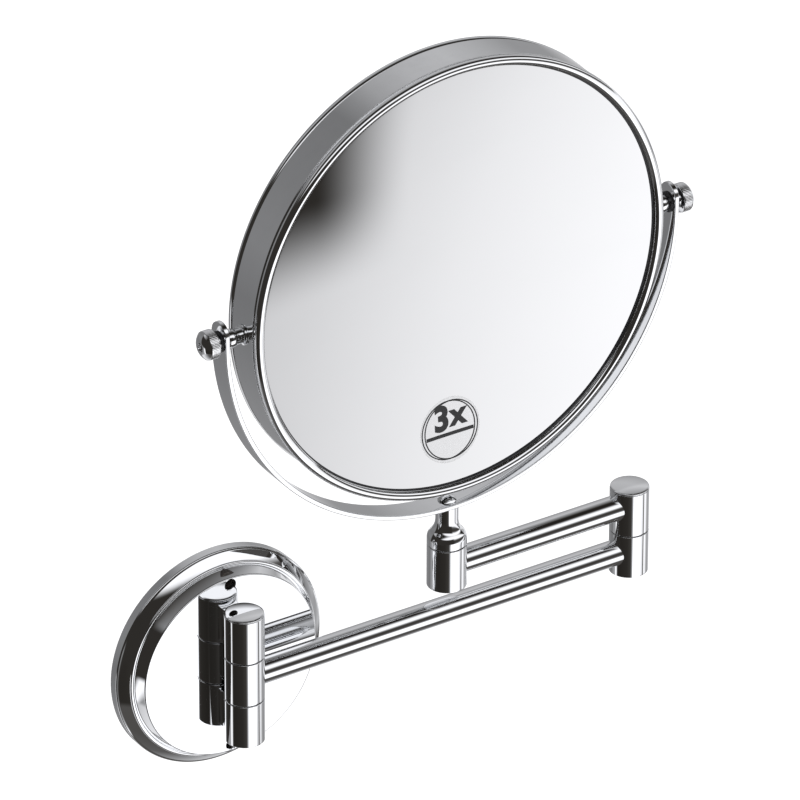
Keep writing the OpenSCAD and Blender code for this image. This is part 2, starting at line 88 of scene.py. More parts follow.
class Sock:
    """One value or colour in a shader, which takes part in sums and products."""

    def __init__(self, tree: "Shader", socket: bpy.types.NodeSocket) -> None:
        """Wraps a socket.

        Args:
            tree: The shader that the socket is in.
            socket: The output socket.
        """
        self.tree = tree
        self.socket = socket

    def math(self, operation: str, *others: "Sock | float") -> "Sock":
        """A Math node with this value first.

        Args:
            operation: The node's operation.
            others: The other values.

        Returns:
            The node's result.
        """
        return self.tree.math(operation, self, *others)

    def __add__(self, other: "Sock | float") -> "Sock":
        """Sum."""
        return self.tree.math("ADD", self, other)

    def __radd__(self, other: float) -> "Sock":
        """Sum, reflected."""
        return self.tree.math("ADD", other, self)

    def __sub__(self, other: "Sock | float") -> "Sock":
        """Difference."""
        return self.tree.math("SUBTRACT", self, other)

    def __rsub__(self, other: float) -> "Sock":
        """Difference, reflected."""
        return self.tree.math("SUBTRACT", other, self)

    def __mul__(self, other: "Sock | float") -> "Sock":
        """Product."""
        return self.tree.math("MULTIPLY", self, other)

    def __rmul__(self, other: float) -> "Sock":
        """Product, reflected."""
        return self.tree.math("MULTIPLY", other, self)

    def __truediv__(self, other: "Sock | float") -> "Sock":
        """Quotient."""
        return self.tree.math("DIVIDE", self, other)

    def ramp(self, stops: Sequence[tuple[float, float]]) -> "Sock":
        """A smooth curve of grey values over this one.

        Args:
            stops: Pairs of place and value.

        Returns:
            The curve's value.
        """
        return self.tree.add(
            "ShaderNodeValToRGB", {"stops": [(p, (v, v, v)) for p, v in stops]}, {"Fac": self}
        )


class Shader:
    """A node tree under construction."""

    def __init__(self, tree: bpy.types.NodeTree) -> None:
        """Empties a node tree.

        Args:
            tree: The node tree of a material or a world.
        """
        self.tree = tree
        tree.nodes.clear()

    def add(
        self,
        kind: str,
        settings: dict[str, object] | None = None,
        sockets: dict[str | int, object] | None = None,
        out: str | int = 0,
    ) -> Sock:
        """Adds any node.

        Args:
            kind: The node's type.
            settings: Values set on the node itself, such as an operation or a ramp's stops.
            sockets: Values or links for its inputs, by name or number.
            out: The output to give back.

        Returns:
            The chosen output.
        """
        node = self.tree.nodes.new(kind)
        for key, value in (settings or {}).items():
            if key == "stops":
                self._stops(node, value)
            else:
                setattr(node, key, value)
        for key, value in (sockets or {}).items():
            socket = node.inputs[key]
            if isinstance(value, Sock):
                self.tree.links.new(value.socket, socket)
            else:
                socket.default_value = value
        return Sock(self, node.outputs[out]) if len(node.outputs) else Sock(self, None)

    @staticmethod
    def _stops(node: bpy.types.Node, stops: Iterable[tuple[float, Colour]]) -> None:
        """Sets a colour ramp's stops.

        Args:
            node: The ramp.
            stops: Pairs of place and colour.
        """
        ramp = node.color_ramp
        for i, (place, colour) in enumerate(stops):
            stop = ramp.elements[i] if i < 2 else ramp.elements.new(place)
            stop.position = place
            stop.color = (*colour, 1.0)

    def math(self, operation: str, *values: "Sock | float") -> Sock:
        """A Math node.

        Args:
            operation: The node's operation.
            values: Its inputs in order.

        Returns:
            The result.
        """
        return self.add("ShaderNodeMath", {"operation": operation}, dict(enumerate(values)))

    def vector(self, operation: str, *values: "Sock | Sequence[float]", out: str | int = 0) -> Sock:
        """A Vector Math node.

        Args:
            operation: The node's operation.
            values: Its inputs in order.
            out: The output to give back.

        Returns:
            The result.
        """
        sockets = dict(enumerate(values))
        return self.add("ShaderNodeVectorMath", {"operation": operation}, sockets, out)

    def mix(self, share: "Sock | float", first: "Sock | Colour", second: "Sock | Colour") -> Sock:
        """A blend of two colours.

        Args:
            share: How much of the second colour there is.
            first: The first colour.
            second: The second colour.

        Returns:
            The blended colour.
        """
        pair = [c if isinstance(c, Sock) else (*c, 1.0) for c in (first, second)]
        return self.add(
            "ShaderNodeMix", {"data_type": "RGBA"}, {0: share, 6: pair[0], 7: pair[1]}, out=2
        )

    def noise(self, where: Sock, scale: float, detail: float = 2.0, rough: float = 0.5) -> Sock:
        """Cloudy noise between 0 and 1.

        Args:
            where: The coordinates.
            scale: Clouds per metre.
            detail: Octaves.
            rough: How strong the finer octaves are.

        Returns:
            The noise's value.
        """
        return self.add(
            "ShaderNodeTexNoise",
            {},
            {"Vector": where, "Scale": scale, "Detail": detail, "Roughness": rough},
        )

    def place(self) -> Sock:
        """The coordinates of the piece itself, in metres."""
        return self.add("ShaderNodeTexCoord", out="Object")

    def stretch(self, where: Sock, factors: Sequence[float]) -> Sock:
        """Coordinates multiplied along each axis."""
        return self.vector("MULTIPLY", where, tuple(factors))

    def bump(self, height: Sock, depth: float, under: Sock | None = None) -> Sock:
        """A bumped normal.

        Args:
            height: The relief, 0 to 1.
            depth: Its depth in metres.
            under: A normal that this one adds to.

        Returns:
            The normal.
        """
        sockets: dict[str | int, object] = {"Height": height, "Distance": depth, "Strength": 1.0}
        if under:
            sockets["Normal"] = under
        return self.add("ShaderNodeBump", {}, sockets)

    def surface(self, sockets: dict[str | int, object]) -> Sock:
        """The main shader and the material's output.

        Args:
            sockets: Values or links of the main shader.

        Returns:
            The shader.
        """
        shader = self.add("ShaderNodeBsdfPrincipled", {}, sockets)
        self.add("ShaderNodeOutputMaterial", {}, {"Surface": shader})
        return shader


# ---- finishes -----------------------------------------------------------------


class Lay(Enum):
    """The way that polishing or forming has run over a piece."""

    TURNED_UP = (4.0, 4.0, 900.0)
    TURNED_OUT = (4.0, 900.0, 4.0)
    TURNED_ALONG = (900.0, 4.0, 4.0)
    DRAWN_ALONG = (3.0, 420.0, 420.0)
    BUFFED = (60.0, 60.0, 60.0)


def new_material(name: str, colour: Colour) -> tuple[bpy.types.Material, Shader]:
    """An empty node material.

    Args:
        name: The material's name.
        colour: Its colour in the viewport.

    Returns:
        The material and its shader.
    """
    material = bpy.data.materials.new(name)
    material.use_nodes = True
    material.diffuse_color = (*colour, 1.0)
    return material, Shader(material.node_tree)


@dataclass(frozen=True)
class Chrome:
    """Bright chrome plating: clouds of haze, polishing lines and the plating's slight waves."""

    name: str
    lay: Lay = Lay.BUFFED
    tint: Colour = (0.87, 0.878, 0.89)
    haze: Colour = (0.80, 0.805, 0.815)
    rough: Point = (0.012, 0.055)
    line_depth: float = 0.0000006
    wave_depth: float = 0.000004

    def material(self) -> bpy.types.Material:
        """Builds the material."""
        material, s = new_material(self.name, self.tint)
        where = s.place()
        cloud = s.noise(where, 38.0, 4.0, 0.55)
        smear = s.noise(s.stretch(where, (1.0, 1.0, 0.35)), 210.0, 3.0, 0.6)
        fineness = 9.0 if self.lay == Lay.BUFFED else 1.0
        lines = s.noise(s.stretch(where, self.lay.value), fineness, 2.0, 0.5)
        specks = s.noise(where, 2600.0, 1.0, 0.5).math("GREATER_THAN", 0.74)
        marks = cloud.ramp([(0.35, 0.0), (0.72, 1.0)]) * smear.ramp([(0.4, 0.0), (0.75, 1.0)])
        low, high = self.rough
        rough = low + (high - low) * (0.15 + marks * 0.55 + lines * 0.2 + specks * 0.25)
        relief = s.bump(s.noise(where, 85.0, 1.0, 0.4), self.wave_depth)
        s.surface(
            {
                "Base Color": s.mix(marks * 0.6 + lines * 0.12, self.tint, self.haze),
                "Metallic": 1.0,
                "Roughness": rough,
                "Normal": s.bump(lines, self.line_depth, relief),
            }
        )
        return material


@dataclass(frozen=True)
class Silvered:
    """Glass with silver behind it: bright, with faint wiping marks and dust."""

    name: str
    tint: Colour
    wiped: Colour

    def material(self) -> bpy.types.Material:
        """Builds the material."""
        material, s = new_material(self.name, self.tint)
        where = s.place()
        wipe = s.noise(s.stretch(where, (0.5, 1.0, 1.6)), 26.0, 5.0, 0.6)
        wipe = wipe.ramp([(0.45, 0.0), (0.8, 1.0)])
        dust = s.noise(where, 1800.0, 1.0, 0.5).ramp([(0.70, 0.0), (0.76, 1.0)])
        s.surface(
            {
                "Base Color": s.mix(wipe * 0.35 + dust * 0.12, self.tint, self.wiped),
                "Metallic": 1.0,
                "Roughness": 0.004 + wipe * 0.012 + dust * 0.01,
            }
        )
        return material


@dataclass(frozen=True)
class Satin:
    """Plain or plated metal that isn't polished, such as zinc, spring steel or brass."""

    name: str
    tint: Colour
    shade: Colour
    rough: Point = (0.22, 0.42)
    grain: float = 700.0

    def material(self) -> bpy.types.Material:
        """Builds the material."""
        material, s = new_material(self.name, self.tint)
        where = s.place()
        grain = s.noise(where, self.grain, 3.0, 0.6)
        patch = s.noise(where, 160.0, 3.0, 0.5).ramp([(0.35, 0.0), (0.7, 1.0)])
        low, high = self.rough
        s.surface(
            {
                "Base Color": s.mix(patch * 0.7 + grain * 0.3, self.tint, self.shade),
                "Metallic": 1.0,
                "Roughness": low + (high - low) * (patch * 0.6 + grain * 0.4),
                "Normal": s.bump(grain, 0.000012),
            }
        )
        return material


@dataclass(frozen=True)
class Moulded:
    """Moulded plastic: fine grain, with paler rubbed patches."""

    name: str
    tint: Colour
    rubbed: Colour
    rough: Point = (0.38, 0.55)
    grain: float = 1500.0

    def material(self) -> bpy.types.Material:
        """Builds the material."""
        material, s = new_material(self.name, self.tint)
        where = s.place()
        grain = s.noise(where, self.grain, 2.0, 0.5)
        patch = s.noise(where, 120.0, 3.0, 0.6).ramp([(0.45, 0.0), (0.75, 1.0)])
        low, high = self.rough
        s.surface(
            {
                "Base Color": s.mix(patch * 0.6 + grain * 0.2, self.tint, self.rubbed),
                "Roughness": low + (high - low) * (grain * 0.7 + patch * 0.3),
                "Normal": s.bump(grain, 0.00002),
            }
        )
        return material


@dataclass(frozen=True)
class Board:
    """Pressed fibre board: matted fibres and darker flecks."""

    name: str
    tint: Colour = (0.62, 0.52, 0.38)
    fleck: Colour = (0.38, 0.28, 0.18)

    def material(self) -> bpy.types.Material:
        """Builds the material."""
        material, s = new_material(self.name, self.tint)
        where = s.place()
        fibre = s.noise(s.stretch(where, (1.0, 1.0, 6.0)), 500.0, 4.0, 0.7)
        fleck = s.noise(where, 900.0, 2.0, 0.5).ramp([(0.6, 0.0), (0.7, 1.0)])
        s.surface(
            {
                "Base Color": s.mix(fibre * 0.5 + fleck * 0.5, self.tint, self.fleck),
                "Roughness": 0.75 + fibre * 0.2,
                "Normal": s.bump(fibre, 0.00006),
            }
        )
        return material


@dataclass(frozen=True)
class Film:
    """Clear label film, almost invisible, with a milky bloom at its edge."""

    name: str
    centre: tuple[float, float, float]
    radius: float

    def material(self) -> bpy.types.Material:
        """Builds the material."""
        material, s = new_material(self.name, (0.9, 0.9, 0.9))
        where = s.place()
        middle = (self.centre[0], 0, self.centre[2])
        reach = s.vector("DISTANCE", s.stretch(where, (1, 0, 1)), middle, out="Value")
        edge = (reach / self.radius).ramp([(0.0, 0.0), (0.93, 0.0), (1.0, 1.0)])
        haze = s.noise(where, 240.0, 3.0, 0.5)
        s.surface(
            {
                "Base Color": s.mix(haze, (0.80, 0.81, 0.81), (0.88, 0.89, 0.89)),
                "Roughness": 0.08 + haze * 0.1,
                "Alpha": 0.05 + haze * 0.05 + edge * 0.12,
            }
        )
        return material


@dataclass(frozen=True)
class Ink:
    """Printing ink on the label, also used for a painted reflection of the print: dense, a little
    mottled.
    """

    name: str

    def material(self) -> bpy.types.Material:
        """Builds the material."""
        material, s = new_material(self.name, (0.02, 0.02, 0.02))
        mottle = s.noise(s.place(), 2200.0, 2.0, 0.6)
        s.surface(
            {
                "Base Color": s.mix(mottle, (0.010, 0.010, 0.011), (0.03, 0.03, 0.032)),
                "Roughness": 0.35 + mottle * 0.2,
            }
        )
        return material


Finish = Chrome | Silvered | Satin | Moulded | Board | Film | Ink


class Finishes:
    """The finishes of the whole object, each built once."""

    def __init__(self) -> None:
        """Starts with no material built."""
        self._made: dict[str, bpy.types.Material] = {}

    def get(self, finish: Finish) -> bpy.types.Material:
        """The material of a finish.

        Args:
            finish: The finish.

        Returns:
            Its material, built on first use.
        """
        if finish.name not in self._made:
            self._made[finish.name] = finish.material()
        return self._made[finish.name]


POST_CHROME = Chrome("chrome_turned_post", Lay.TURNED_UP)
PLATE_CHROME = Chrome("chrome_turned_plate", Lay.TURNED_OUT)
TUBE_CHROME = Chrome("chrome_drawn_tube", Lay.DRAWN_ALONG)
KNOB_CHROME = Chrome("chrome_turned_knob", Lay.TURNED_ALONG, rough=(0.02, 0.07))
YOKE_CHROME = Chrome("chrome_formed_yoke", Lay.BUFFED)
CASING_CHROME = Chrome("chrome_rolled_casing", Lay.TURNED_OUT, rough=(0.02, 0.08))
BEZEL_CHROME = Chrome("chrome_spun_bezel", Lay.TURNED_OUT)
FRONT_SILVER = Silvered("silvered_magnifying_glass", (0.62, 0.622, 0.624), (0.60, 0.603, 0.606))
REAR_SILVER = Silvered("silvered_plain_glass", (0.64, 0.643, 0.645), (0.61, 0.613, 0.616))
ZINC = Satin("zinc_plated_steel", (0.62, 0.63, 0.64), (0.48, 0.49, 0.51))
SPRING = Satin("spring_steel", (0.38, 0.38, 0.39), (0.25, 0.25, 0.27), (0.25, 0.4))
BRASS = Satin("insert_brass", (0.80, 0.60, 0.26), (0.62, 0.43, 0.17))
NYLON = Moulded("black_nylon", (0.018, 0.018, 0.02), (0.05, 0.05, 0.055))
ACETAL = Moulded("bush_acetal", (0.80, 0.79, 0.74), (0.87, 0.86, 0.83))
CAST = Moulded("raw_casting", (0.055, 0.046, 0.04), (0.09, 0.075, 0.062), (0.5, 0.7), 900.0)
CORE = Moulded("moulded_core", (0.03, 0.03, 0.032), (0.07, 0.07, 0.075), (0.45, 0.65))
BOARD = Board("pressed_board")
PRINT_AND_PAINTED_REFLECTION_INK = Ink("label_ink_and_painted_reflection")


# ---- places and outlines --------------------------------------------------------


@dataclass(frozen=True)
class Box:
    """The box of one or more pieces, in millimetres."""

    lo: Vector
    hi: Vector

    @classmethod
    def of(cls, node: str) -> "Box":
        """The box of a node of the frame."""
        lo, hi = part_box(node)
        return cls(lo / MM, hi / MM)

    @property
    def mid(self) -> Vector:
        """The middle."""
        return (self.lo + self.hi) / 2

    @property
    def span(self) -> Vector:
        """The size along each axis."""
        return self.hi - self.lo


class Way(Enum):
    """Which way a turned piece's axis points."""

    UP = ((1, 0, 0), (0, 1, 0), (0, 0, 1))
    OUT = ((1, 0, 0), (0, 0, 1), (0, -1, 0))
    BACK = ((1, 0, 0), (0, 0, -1), (0, 1, 0))
    RIGHT = ((0, 1, 0), (0, 0, 1), (1, 0, 0))
    LEFT = ((0, -1, 0), (0, 0, 1), (-1, 0, 0))


def arc(centre: Point, radius: float, start: float, end: float, steps: int = 8) -> list[Point]:
    """Points of an arc.

    Args:
        centre: Its centre.
        radius: Its radius.
        start: First angle in degrees.
        end: Last angle in degrees.
        steps: Number of chords.

    Returns:
        The points in order.
    """
    turns = [math.radians(start + (end - start) * i / steps) for i in range(steps + 1)]
    return [(centre[0] + radius * math.cos(t), centre[1] + radius * math.sin(t)) for t in turns]


def bend(first: Point, lean: Point, last: Point, steps: int = 12) -> list[Point]:
    """Points of a smooth curve from first to last that leans towards a point.

    Args:
        first: Its start.
        lean: The point that it leans towards.
        last: Its end.
        steps: Number of chords.

    Returns:
        The points in order.
    """
    points = []
    for i in range(steps + 1):
        t = i / steps
        a, b, c = (1 - t) ** 2, 2 * t * (1 - t), t * t
        points.append(tuple(a * first[k] + b * lean[k] + c * last[k] for k in range(2)))
    return points


def rounded(corners: Sequence[tuple[float, ...]], steps: int = 5) -> list[Point]:
    """An outline whose corners may be rounded.

    Args:
        corners: Points, each with an optional radius as a third number.
        steps: Number of chords at each rounded corner.

    Returns:
        The outline's points.
    """
    out: list[Point] = []
    count = len(corners)
    for i, corner in enumerate(corners):
        here = Vector(corner[:2])
        radius = corner[2] if len(corner) > 2 else 0.0
        before = Vector(corners[i - 1][:2]) - here
        after = Vector(corners[(i + 1) % count][:2]) - here
        if not radius or before.length < 1e-9 or after.length < 1e-9:
            out.append((here.x, here.y))
            continue
        half = before.angle(after) / 2
        reach = min(radius / math.tan(half), before.length * 0.49, after.length * 0.49)
        first, last = here + before.normalized() * reach, here + after.normalized() * reach
        out += bend(tuple(first), tuple(here), tuple(last), steps)
    return out


def held(outline: Sequence[Point], hold: float, closed: bool) -> list[Point]:
    """Adds points close to both ends of each long side, so that flats stay flat when shaded.

    Args:
        outline: The points.
        hold: Distance of the added points from the ends.
        closed: Whether the last point joins the first.

    Returns:
        The points with the added ones.
    """
    out: list[Point] = []
    count = len(outline)
    for i, point in enumerate(outline):
        out.append(point)
        if i == count - 1 and not closed:
            break
        a, b = Vector(point), Vector(outline[(i + 1) % count])
        if (b - a).length > 4 * hold:
            step = (b - a).normalized() * hold
            out += [tuple(a + step), tuple(b - step)]
    return out


class Shape:
    """A mesh under construction, in millimetres."""

    SHARP = math.radians(32)

    def __init__(self) -> None:
        """Starts empty."""
        self.bm = bmesh.new()

    def turned(
        self,
        outline: Sequence[Point],
        origin: Vector,
        way: Way = Way.UP,
        steps: int = 160,
        closed: bool = True,
        hold: float = 0.15,
    ) -> "Shape":
        """Adds a solid of revolution.

        Args:
            outline: Points of radius and height.
            origin: Where height 0 is on the axis.
            way: Which way the axis points.
            steps: Number of sides.
            closed: Whether the outline's last point joins its first.
            hold: Distance of the points that hold the flats.

        Returns:
            This shape.
        """
        points = held(outline, hold, closed)
        side, other, axis = (Vector(v) for v in way.value)
        rings = []
        for radius, height in points:
            centre = origin + axis * height
            if radius < 1e-6:
                rings.append([self.bm.verts.new(centre)])
                continue
            rings.append(
                [
                    self.bm.verts.new(
                        centre
                        + side * (radius * math.cos(2 * math.pi * k / steps))
                        + other * (radius * math.sin(2 * math.pi * k / steps))
                    )
                    for k in range(steps)
                ]
            )
        pairs = list(zip(rings, rings[1:])) + ([(rings[-1], rings[0])] if closed else [])
        for low, high in pairs:
            self._band(low, high)
        self._creases(points, rings, closed)
        return self

    def _band(self, low: list, high: list) -> None:
        """Joins two rings of a turned solid.

        Args:
            low: The first ring, or one point on the axis.
            high: The second ring, or one point on the axis.
        """
        count = max(len(low), len(high))
        if len(low) == len(high) == 1:
            return
        for k in range(count):
            n = (k + 1) % count
            ring = [low[k], low[n]] if len(low) > 1 else [low[0]]
            ring += [high[n], high[k]] if len(high) > 1 else [high[0]]
            self.bm.faces.new(ring)

    def _creases(self, points: Sequence[Point], rings: Sequence[list], closed: bool) -> None:
        """Marks the rings where the outline turns sharply.

        Args:
            points: The outline.
            rings: The rings of vertices.
            closed: Whether the outline is closed.
        """
        count = len(points)
        for i, ring in enumerate(rings):
            if len(ring) < 2 or (not closed and i in (0, count - 1)):
                continue
            a = Vector(points[i]) - Vector(points[i - 1])
            b = Vector(points[(i + 1) % count]) - Vector(points[i])
            if a.length < 1e-9 or b.length < 1e-9 or a.angle(b) < self.SHARP:
                continue
            for k, vert in enumerate(ring):
                edge = self.bm.edges.get((vert, ring[(k + 1) % len(ring)]))
                if edge:
                    edge.smooth = False

    def block(self, lo: Vector, hi: Vector, edge: float) -> "Shape":
        """Adds a block with rounded edges.

        Args:
            lo: Its lowest corner.
            hi: Its highest corner.
            edge: Radius of its edges.

        Returns:
            This shape.
        """
        place = Matrix.Translation((lo + hi) / 2) @ Matrix.Diagonal((*(hi - lo), 1.0))
        verts = bmesh.ops.create_cube(self.bm, size=1.0, matrix=place)["verts"]
        edges = list({e for v in verts for e in v.link_edges})
        bmesh.ops.bevel(self.bm, geom=edges, offset=edge, segments=3, profile=0.5, affect="EDGES")
        return self

    def facing_out(self) -> "Shape":
        """Turns all faces outwards."""
        bmesh.ops.recalc_face_normals(self.bm, faces=self.bm.faces)
        return self

    def piece(self, name: str, material: bpy.types.Material | None = None) -> bpy.types.Object:
        """Makes the Blender object.

        Args:
            name: Its name.
            material: Its material, which a cutting tool doesn't have.

        Returns:
            The object, in metres, with smooth shading between creases.
        """
        bmesh.ops.remove_doubles(self.bm, verts=self.bm.verts, dist=1e-5)
        self.facing_out()
        for face in self.bm.faces:
            face.smooth = True
        self.bm.transform(Matrix.Scale(MM, 4))
        mesh = bpy.data.meshes.new(name)
        self.bm.to_mesh(mesh)
        self.bm.free()
        if material:
            mesh.materials.append(material)
        piece = bpy.data.objects.new(name, mesh)
        bpy.context.scene.collection.objects.link(piece)
        return piece


@dataclass
class SubAssembly:
    """Pieces that ride on one body of the frame."""

    nodes: dict[str, bpy.types.Object]
    finishes: Finishes
    body: str = ""

    def build(self) -> None:
        """Builds and dresses the pieces, as each sub-assembly says for itself."""
        raise NotImplementedError

    def fit(self, piece: bpy.types.Object, slot: str, *nodes: str) -> bpy.types.Object:
        """Puts a piece on the body in place of CAD nodes.

        Args:
            piece: The piece.
            slot: The record's material slot; not used.
            nodes: The CAD nodes that it stands for.

        Returns:
            The piece.
        """
        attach(piece, self.body)
        if nodes:
            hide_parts(*nodes)
        log.info("%s on %s: %d faces", piece.name, self.body, len(piece.data.polygons))
        return piece

    def make(
        self, shape: Shape, name: str, finish: Finish, slot: str, *nodes: str
    ) -> bpy.types.Object:
        """Makes a piece of a shape in a finish and fits it.

        Args:
            shape: The shape.
            name: The piece's name.
            finish: Its finish.
            slot: The record's material slot.
            nodes: The CAD nodes that it stands for.

        Returns:
            The piece.
        """
        return self.fit(shape.piece(name, self.finishes.get(finish)), slot, *nodes)

    def dress(self, names: Iterable[str], finish: Finish) -> None:
        """Gives carried-over nodes of the frame a finish.

        Args:
            names: Their names.
            finish: The finish.
        """
        for name in names:
            for slot in self.nodes[name].material_slots:
                slot.material = self.finishes.get(finish)
            log.info("%s dressed in %s", name, finish.name)

    @staticmethod
    def cut(piece: bpy.types.Object, tools: Sequence[bpy.types.Object]) -> None:
        """Cuts tools out of a piece and removes them.

        Args:
            piece: The piece.
            tools: Closed meshes to take away.
        """
        for tool in tools:
            cutter = piece.modifiers.new("cut", "BOOLEAN")
            cutter.operation = "DIFFERENCE"
            cutter.solver = "EXACT"
            cutter.object = tool
        bpy.context.view_layer.update()
        graph = bpy.context.evaluated_depsgraph_get()
        cut = bpy.data.meshes.new_from_object(piece.evaluated_get(graph))
        piece.modifiers.clear()
        name, old = piece.data.name, piece.data
        piece.data = cut
        cut.set_sharp_from_angle(angle=Shape.SHARP)
        bpy.data.meshes.remove(old)
        cut.name = name
        for tool in tools:
            bpy.data.meshes.remove(tool.data)


# ---- hinge pieces -------------------------------------------------------------------


@dataclass
class Hinge(SubAssembly):
    """Turned pieces that hinge posts are stacked from."""

    edge: float = 0.32
    bore: float = 2.6
    rim: float = 0.6
    crown_inset: float = 0.9
    gap: float = 0.22
    shadow: float = 0.35
    recess_depth: float = 7.0
    plug_play: float = 0.05
    tube_wall: float = 1.2

    def segment(self, node: str, slot: str, recess: Point | None = None) -> bpy.types.Object:
        """A post segment with rounded edges and its bore.

        Args:
            node: The CAD node that it stands for.
            slot: The record's material slot.
            recess: Radius and signed depth of a recess.

        Returns:
            The piece.
        """
        return self.make(self.barrel(node, recess), f"{node}_segment", POST_CHROME, slot, node)

    def barrel(self, node: str, recess: Point | None) -> Shape:
        """The turned shape of a segment.

        Args:
            node: The CAD node that it stands for.
            recess: Radius and signed depth of a recess.

        Returns:
            The shape.
        """
        box = Box.of(node)
        outline = self.outline(box.lo.z, box.hi.z, recess)
        return Shape().turned(outline, Vector((box.mid.x, self.post_axis_y(), 0)))

    def recess(self, plug: str, sign: int) -> Point:
        """The recess that a plug or a cap's spigot goes into.

        Args:
            plug: The plug's node.
            sign: 1 for a recess at the top of its segment, -1 for one at the foot.

        Returns:
            Its radius and its signed depth.
        """
        return Box.of(plug).span.x / 2 + self.plug_play, self.recess_depth * sign

    @staticmethod
    def post_axis_y() -> float:
        """Where the hinge axes are along Y."""
        return Box.of("wall_hub").mid.y

    @staticmethod
    def post_radius() -> float:
        """Radius of the posts."""
        return Box.of("swivel_hub").span.y / 2

    def outline(self, low: float, high: float, recess: Point | None) -> list[Point]:
        """Outline of a segment.

        Args:
            low: Foot.
            high: Top.
            recess: Radius and signed depth of a recess, above 0 at the top and below 0 at the foot.

        Returns:
            The outline.
        """
        radius, edge, bore = self.post_radius(), self.edge, self.bore
        inner: list[tuple[float, ...]] = [(bore, high), (bore, low)]
        if recess and recess[1] > 0:
            wide, floor = recess[0], high - recess[1]
            inner = [(wide, high), (wide, floor), (bore, floor), (bore, low)]
        if recess and recess[1] < 0:
            wide, floor = recess[0], low - recess[1]
            inner = [(bore, high), (bore, floor), (wide, floor), (wide, low)]
        return rounded([*inner, (radius, low, edge), (radius, high, edge)])

    def cap(self, node: str, slot: str) -> bpy.types.Object:
        """A low domed cap with a rounded rim.

        Args:
            node: The CAD node that it stands for.
            slot: The record's material slot.

        Returns:
            The piece.
        """
        box = Box.of(node)
        radius = box.span.x / 2
        foot = self.cap_foot(node)
        crown = radius - self.crown_inset
        lip = box.hi.z - self.dome(node)
        spigot = Box.of("wall_post_plug").span.x / 2
        outline = [
            *bend((0, box.hi.z), (crown * 0.55, box.hi.z), (crown, lip), 18)[:-1],
            *bend((crown, lip), (radius - 0.05, lip - 0.25), (radius, lip - self.rim), 12),
            (radius, min(foot + self.gap, lip - self.rim - 0.02)),
            (radius - self.shadow, foot + self.gap * 0.6),
            (radius - self.shadow, foot),
            (spigot, foot),
            (spigot, box.lo.z),
            (0, box.lo.z),
        ]
        shape = Shape().turned(outline, Vector((box.mid.x, box.mid.y, 0)), closed=False, hold=0.1)
        return self.make(shape, f"{node}_domed", POST_CHROME, slot, node)

    @staticmethod
    def cap_foot(node: str) -> float:
        """Height of the top of the segment under a cap."""
        return Box.of("wall_post_top" if node.startswith("wall") else "elbow_upper_hub").hi.z

    @staticmethod
    def dome(node: str) -> float:
        """How far a cap's middle stands above its rim."""
        return 0.55 if node.startswith("wall") else 0.8

    def plug(self, node: str, slot: str) -> bpy.types.Object:
        """A plug that closes the recess under a post.

        Args:
            node: The CAD node that it stands for.
            slot: The record's material slot.

        Returns:
            The piece.
        """
        box = Box.of(node)
        radius = box.span.x / 2
        outline = rounded(
            [(0, box.lo.z), (radius, box.lo.z, 0.25), (radius, box.hi.z, 0.2), (0, box.hi.z)]
        )
        shape = Shape().turned(outline, Vector((box.mid.x, box.mid.y, 0)), closed=False)
        return self.make(shape, f"{node}_turned", POST_CHROME, slot, node)

    def washer(self, node: str) -> bpy.types.Object:
        """One or two thin nylon friction washers between segments.

        Args:
            node: The CAD node that they stand for.

        Returns:
            The piece.
        """
        box = Box.of(node)
        shape = Shape()
        radius = box.span.x / 2
        thick = Box.of("elbow_friction_washer").span.z
        for low in {round(box.lo.z, 4), round(box.hi.z - thick, 4)}:
            high = low + thick
            outline = rounded(
                [(self.bore, low), (radius, low, 0.1), (radius, high, 0.1), (self.bore, high)], 3
            )
            shape.turned(outline, Vector((box.mid.x, box.mid.y, 0)), hold=0.05)
        return self.make(shape, f"{node}_nylon", NYLON, "black_nylon", node)

    def tube(self, node: str, slot: str) -> bpy.types.Object:
        """A drawn arm tube with rounded ends.

        Args:
            node: The CAD node that it stands for.
            slot: The record's material slot.

        Returns:
            The piece.
        """
        box = Box.of(node)
        radius = box.span.z / 2
        inner = radius - self.tube_wall
        length = box.span.x
        outline = rounded([(inner, 0), (radius, 0, 0.2), (radius, length, 0.2), (inner, length)], 3)
        shape = Shape().turned(outline, Vector((box.lo.x, box.mid.y, box.mid.z)), Way.RIGHT, 128)
        return self.make(shape, f"{node}_drawn", TUBE_CHROME, slot, node)


# ---- sub-assemblies ---------------------------------------------------------------------


